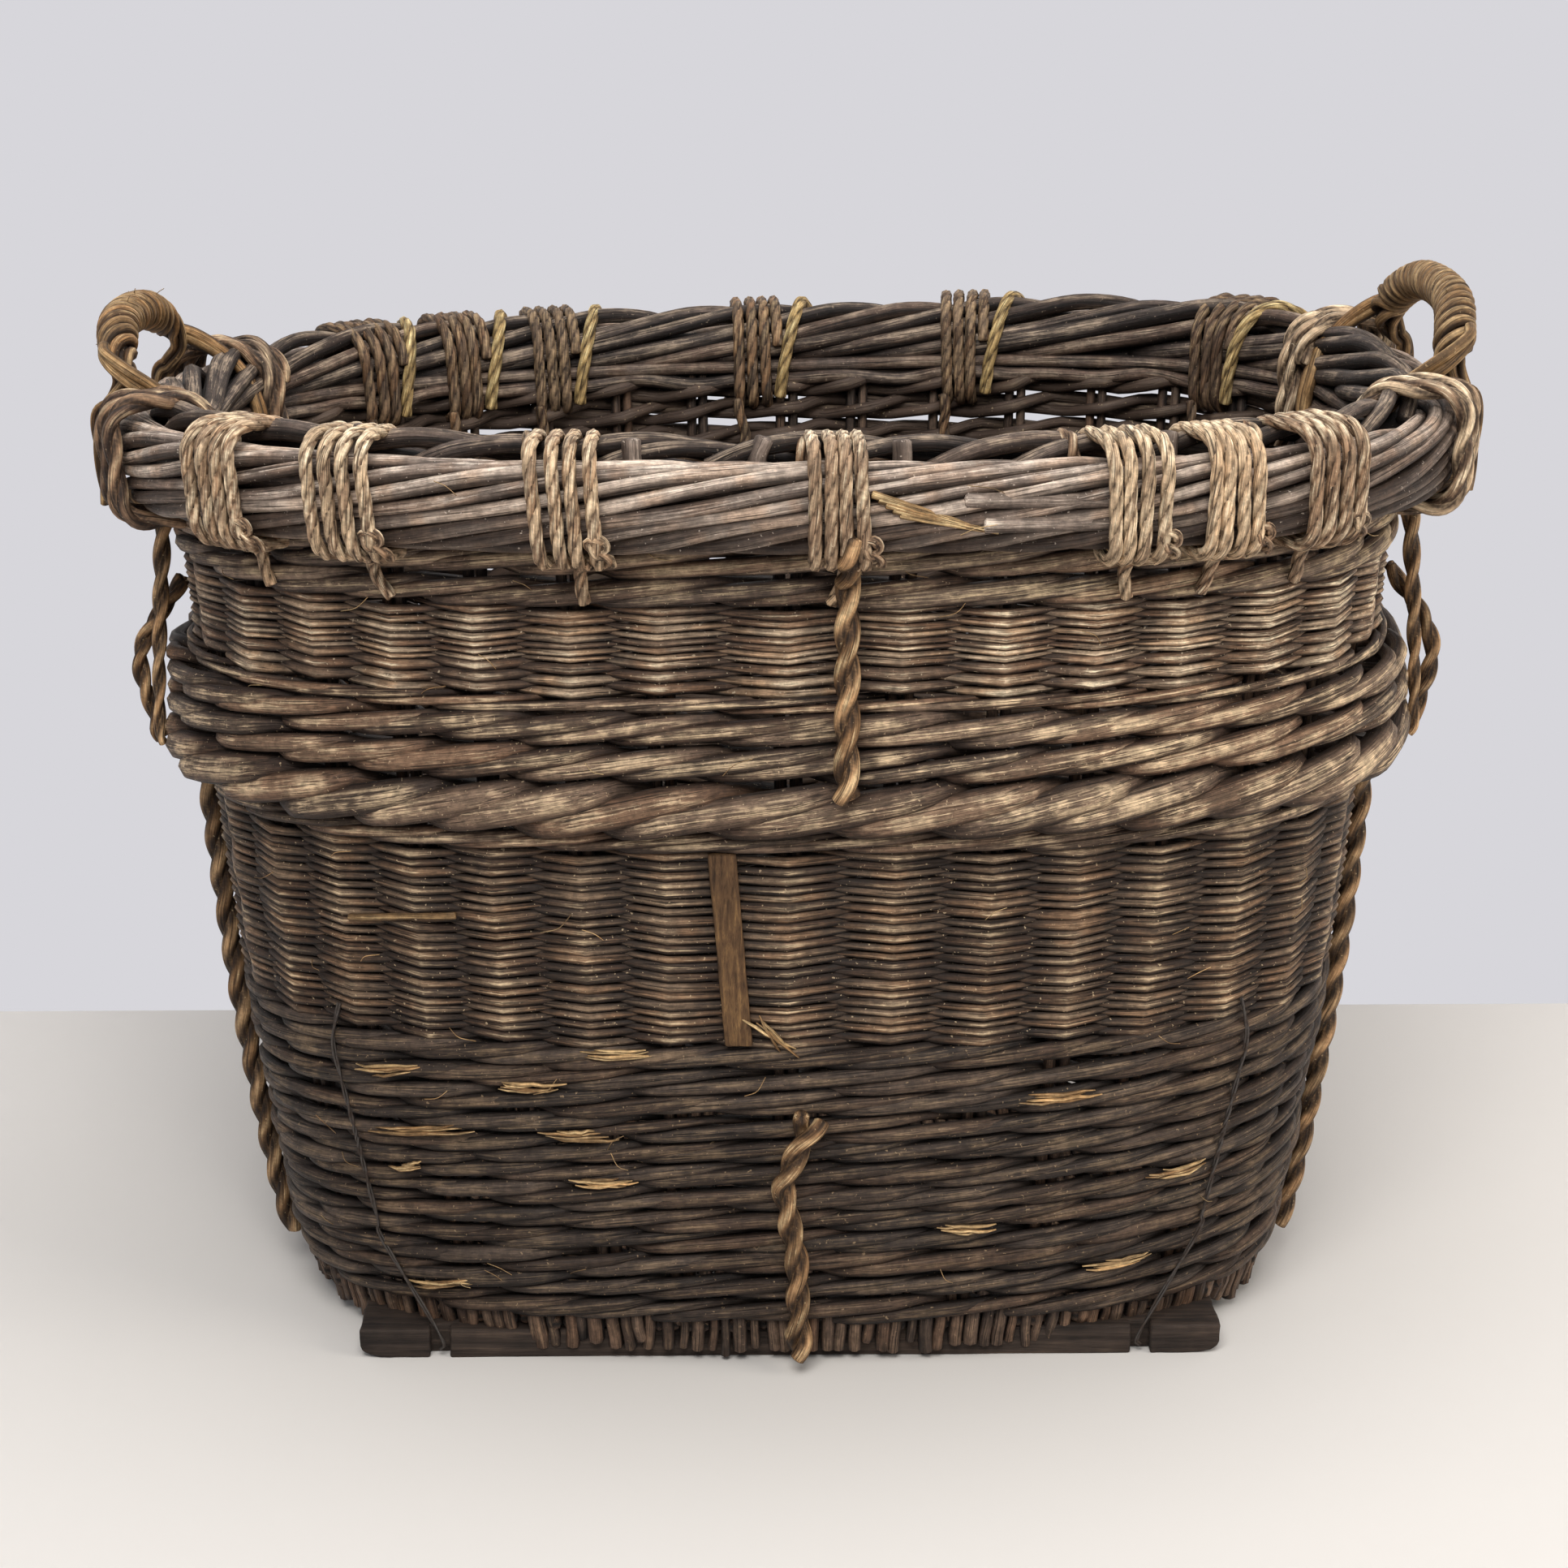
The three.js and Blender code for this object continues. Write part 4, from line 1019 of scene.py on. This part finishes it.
def torn():
    """Bark torn off in pale splinters, a split rod on the rim, a broken rod and loose fibres."""
    rods = Rods("torn_rods", 6, 110)
    rng = rods.rng
    thickness = np.array([0.5, 1.0, 1.3, 1.4, 1.3, 1.0, 0.5])
    arch = np.array([0.5, 2.4, 3.2, 3.4, 3.2, 2.4, 0.8])
    for x0, z0, x1, z1 in SPLINTERS:
        for k in range(4):
            x = np.linspace(*np.array([x0, x1]) + rng.normal(0, 5, 2), 7)
            z = np.linspace(z0, z1, 7) + (k - 1.5) * 1.7 + rng.normal(0, 0.4, 7)
            size = thickness * rng.uniform(0.8, 1.1)
            rods.lay(place_at_x(x, -1, z), z, arch + rng.normal(0, 0.3), size, worn=1.0)
    # a rod of the rim, split in five
    for k in range(5):
        x, z, outside = np.linspace((43 + 4 * k, 592 - 3 * k, 36.2), (113, 568, 34), 9).T
        outside = outside - 0.4 * abs(k - 2)
        rods.lay(place_at_x(x, -1, RIM), z, outside, np.linspace(2.7, 0.9, 9), worn=1.2)
    x = np.linspace(-274, -206, 12)
    broken = 1.5 * np.sin(x / 9) - 0.6
    rods.lay(place_at_x(x, -1, 312), np.linspace(307, 316, 12), broken, 2.6, worn=0.8)
    # loose fibres
    for _ in range(LOOSE_FIBRES):
        z = rng.uniform(40, 600)
        x = rng.uniform(-0.9, 0.9) * half_length(z)
        proud = 38 if z > RIM else 19 if 380 < z < 440 else 4
        reach = rng.uniform(8, 20, 2) * rng.choice([-1, 1], 2)
        at = place_at_x(x, -1, z) + np.array([0, 0.4, 1]) * reach[0] / GIRTH
        points, _ = wall(at, z + np.array([0, 0.7, 1]) * reach[1] * 0.6, proud + np.array([-3, 1.2, 0.8]))
        rods.add(smooth_line(points, 2.5), FIBRE, worn=1.0)
    rods.piece(torn_willow, "yellow_willow")


# The foot
def base_mat():
    """Sticks from front to back, and thinner ones along the basket that go over and under them."""
    rods = Rods("base_sticks", 8, 101)
    rng = rods.rng
    for x in np.arange(-318, 319, STICK_PITCH):
        share = abs(x) / half_length(MAT)
        reach = half_width(MAT) * (1 - share**3) ** (1 / 3) - 6 + rng.normal(0, 1.5)
        y = np.linspace(-reach, reach, 8)
        points = np.stack([x + 0 * y, y, BASE_MIDDLE + 0 * y], 1)
        rods.add(points, STICK * (1 + rng.normal(0, 0.06)), (0, 0, 1.0), worn=0.8, inner=None)
    for k, y in enumerate(np.linspace(-112, 112, 9)):
        reach = half_length(MAT) * (1 - (abs(y) / half_width(MAT)) ** 3) ** (1 / 3) - 8
        x = np.arange(-reach, reach, STICK_PITCH / 2)
        sway = np.cos(math.pi * (x / (2 * STICK_PITCH)) + math.pi * k)
        points = np.stack([x, y + 0 * x, BASE_MIDDLE + 7.2 * sway], 1)
        rods.add(points, CROSS_STICK, (0, 0, 1.0), worn=0.8, inner=None)
    rods.piece(peg_willow, "dark_willow", "base_mat")


def pegs():
    """The ends of the base's sticks, which hang down under the wall."""
    rods = Rods("foot_pegs", 8, 102)
    rng = rods.rng
    for k in range(PEGS):
        place = (k + rng.normal(0, 0.16)) / PEGS
        radius = max(rng.normal(PEG, 0.6), 3.2)
        foot = 9 + rng.normal(0, 2.2) + (8 if rng.random() < 0.08 else 0)
        place = place + np.array([0, 0, 0.5, 1]) * rng.normal(0, 0.0007)
        z = [LOWER_WALE + 6, 26, 17, foot]
        # darker at the top, where they go in under the wall: dirt and painted shade
        rods.lay(place, z, [-8, -6.5, -7, -8.5], radius, worn=[0.5, 0.9, 1, 1])
    rods.piece(peg_willow, "dark_willow")


def worn_wood(node, cuts, rough, seed, material, slot):
    """A copy of a wooden solid with its edges rounded and its faces a little uneven."""
    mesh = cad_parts[node].data.copy()
    mesh.name = node + "_worn"
    bm = bmesh.new()
    bm.from_mesh(mesh)
    bmesh.ops.remove_doubles(bm, verts=bm.verts, dist=1e-5)
    bmesh.ops.dissolve_limit(bm, angle_limit=math.radians(4), verts=bm.verts, edges=bm.edges)
    sharp = [edge for edge in bm.edges if edge.calc_face_angle(0) > 0.5]
    bmesh.ops.bevel(
        bm, geom=sharp, offset=WORN_EDGE * MM, segments=3, profile=0.5, affect="EDGES", material=-1,
    )
    bmesh.ops.triangulate(bm, faces=bm.faces)
    for _ in range(cuts):
        long_edges = [e for e in bm.edges if e.calc_length() > 9 * MM]
        bmesh.ops.subdivide_edges(bm, edges=long_edges, cuts=1, use_grid_fill=True)
        bmesh.ops.triangulate(bm, faces=bm.faces)
    bm.normal_update()
    for vert in bm.verts:
        at = vert.co * 60 + Vector((seed, 0, 0))
        vert.co += vert.normal * noise.fractal(at, 1.0, 2.0, 3) * rough * MM
        vert.co.z = max(vert.co.z, 0)
    for face in bm.faces:
        face.smooth = True
    bm.to_mesh(mesh)
    bm.free()
    placed(mesh.name, mesh, material, slot, node)


def wood(name, colours, along, scale=1.0):
    """Split or sawn wood with its grain along an axis, by its dark, middle and light colours."""
    material, sh, surface = new_material(name)
    where = sh.node("ShaderNodeTexCoord").outputs["Object"]
    dark, mid, light = map(colour, colours.split())

    def grained(across, length, **settings):
        """Noise that is drawn out along the grain, by its marks in a metre each way."""
        size = [across * scale] * 3
        size["xyz".index(along)] = length * scale
        return sh.noise(sh.stretched(where, size), **settings)

    rings = grained(240, 9, detail=5, roughness=0.65, distortion=0.4)
    fibre = grained(1400, 40, detail=2)
    tone = sh.total((rings, 0.7), (sh.noise(where, 26, 4), 0.4))
    body = sh.mix(sh.between(tone, 0.36, 0.62), dark, mid)
    body = sh.mix(sh.between(tone, 0.56, 0.78), body, light)
    body = sh.mix(sh.between(fibre, 0.55, 0.75, 0, 0.6), body, dark)
    sh.feed(surface["Base Color"], body)
    sh.feed(surface["Roughness"], sh.between(rings, 0.3, 0.7, 0.85, 0.65))
    sh.feed(surface["Normal"], sh.bump(sh.total((rings, 1.0), (fibre, 0.5)), 0.7))
    return material


def wire_material():
    material, sh, surface = new_material("rusty iron wire", 0.5)
    where = sh.node("ShaderNodeTexCoord").outputs["Object"]
    rust = sh.between(sh.noise(where, 120, 4), 0.42, 0.62)
    sh.feed(surface["Base Color"], sh.mix(rust, colour("524d4a"), colour("33271f")))
    sh.feed(surface["Metallic"], sh.between(rust, 0, 1, 0.85, 0.1))
    sh.feed(surface["Roughness"], sh.between(rust, 0, 1, 0.45, 0.85))
    return material


# Stage
def plain(name, code, plane, seen=None):
    """A stage surface. Where the camera sees it, it may show a colour of its own."""
    material, sh, surface = new_material(name, 0.2)
    surface["Base Color"].default_value = colour(code)
    surface["Roughness"].default_value = 0.7
    if seen:
        out = next(node for node in sh.tree.nodes if node.type == "OUTPUT_MATERIAL")
        lit = out.inputs["Surface"].links[0].from_socket
        rays = sh.node("ShaderNodeLightPath").outputs
        glow = sh.node("ShaderNodeEmission", colour(seen)).outputs[0]
        shown = sh.blend(rays["Is Camera Ray"], lit, glow)
        # and it is clear from behind, and for light on its way to the rest
        behind = sh.node("ShaderNodeNewGeometry").outputs["Backfacing"]
        clear = sh.node("ShaderNodeBsdfTransparent").outputs[0]
        unseen = sh.math("MAXIMUM", behind, rays["Is Shadow Ray"])
        sh.feed(out.inputs["Surface"], sh.blend(unseen, shown, clear))
    plane.data.materials.append(material)


def stage():
    bm = bmesh.new()
    bmesh.ops.create_grid(bm, x_segments=1, y_segments=1, size=6)
    mesh = bpy.data.meshes.new("floor")
    bm.to_mesh(mesh)
    bm.free()
    plain("pale floor", "d8d4d0", new_object("floor", mesh))
    back = new_object("backdrop", mesh.copy())
    back.data.materials.clear()
    back.rotation_euler = (math.pi / 2, 0, 0)
    back.location = (0, BACKDROP_Y, 0)
    plain("pale backdrop", "dcdcdf", back, "d7d6db")


def lamp(name, place, size, power, tone=(1, 1, 1)):
    """A lamp that shines on the middle of the basket."""
    light = bpy.data.lights.new(name, "AREA")
    light.shape = "RECTANGLE"
    light.size, light.size_y = size
    light.energy = power
    light.color = tone
    made = new_object(name, light)
    made.location = place
    made.rotation_euler = (Vector((0, 0, 0.35)) - Vector(place)).to_track_quat("-Z", "Y").to_euler()


def camera():
    data = bpy.data.cameras.new("camera")
    data.sensor_width, data.lens = SENSOR, LENS
    made = new_object("camera", data)
    made.location = CAMERA_PLACE
    made.rotation_euler = (math.radians(90 - CAMERA_DOWN), 0, math.radians(CAMERA_TURN))
    bpy.context.scene.camera = made


lower_rows = np.random.default_rng(5).uniform(0.8, 1.2, LOWER_ROWS)
woven_panel("lower_panel", LOWER_PANEL, MIDDLE_WALE, lower_rows, 25, lower_willow)
woven_panel("upper_panel", UPPER_PANEL, TOP_WALE, UPPER_ROWS, 26, panel_willow, PAINTED_SIDE_LIGHT)
lower_wale()
brown_wale("middle_wale", 22, 0.5 * PAINTED_SIDE_LIGHT, MIDDLE_WALE, MIDDLE_COURSES, 0, middle_willow)
brown_wale("top_wale", 23, PAINTED_SIDE_LIGHT, TOP_WALE, TOP_COURSES, TOP_APART, top_willow)
stakes()
rim_bundle()
border()
lashings()
for end, side in ENDS:
    handle(end, side)
straps()
torn()
wires(wire_material())
base_mat()
pegs()
runner_wood = wood("old runner wood", "1c1613 382d26 5c4b3e", "x")
worn_wood("front_runner", 4, 0.8, 5, runner_wood, "runner_wood")
worn_wood("back_runner", 4, 0.8, 4, runner_wood, "runner_wood")
stake_wood = wood("split stake wood", "2a1d14 5c432b 957348", "z", 1.4)
worn_wood("mending_stake", 3, 0.5, 9, stake_wood, "tan_willow")

stage()
lamp("key", (-0.3, -2.5, 2.7), (1.9, 1.4), 84, (1, 0.98, 0.94))
lamp("side", (2.5, -1.3, 1.5), (1.6, 1.4), 30, (1, 0.93, 0.82))
lamp("top", (0.1, -0.5, 3.0), (2.0, 1.6), 30)
world = bpy.data.worlds.new("studio")
world.use_nodes = True
world.node_tree.nodes["Background"].inputs["Color"].default_value = (0.9, 0.93, 1, 1)
world.node_tree.nodes["Background"].inputs["Strength"].default_value = 0.36
bpy.context.scene.world = world
bpy.context.scene.view_settings.view_transform = "Standard"
camera()
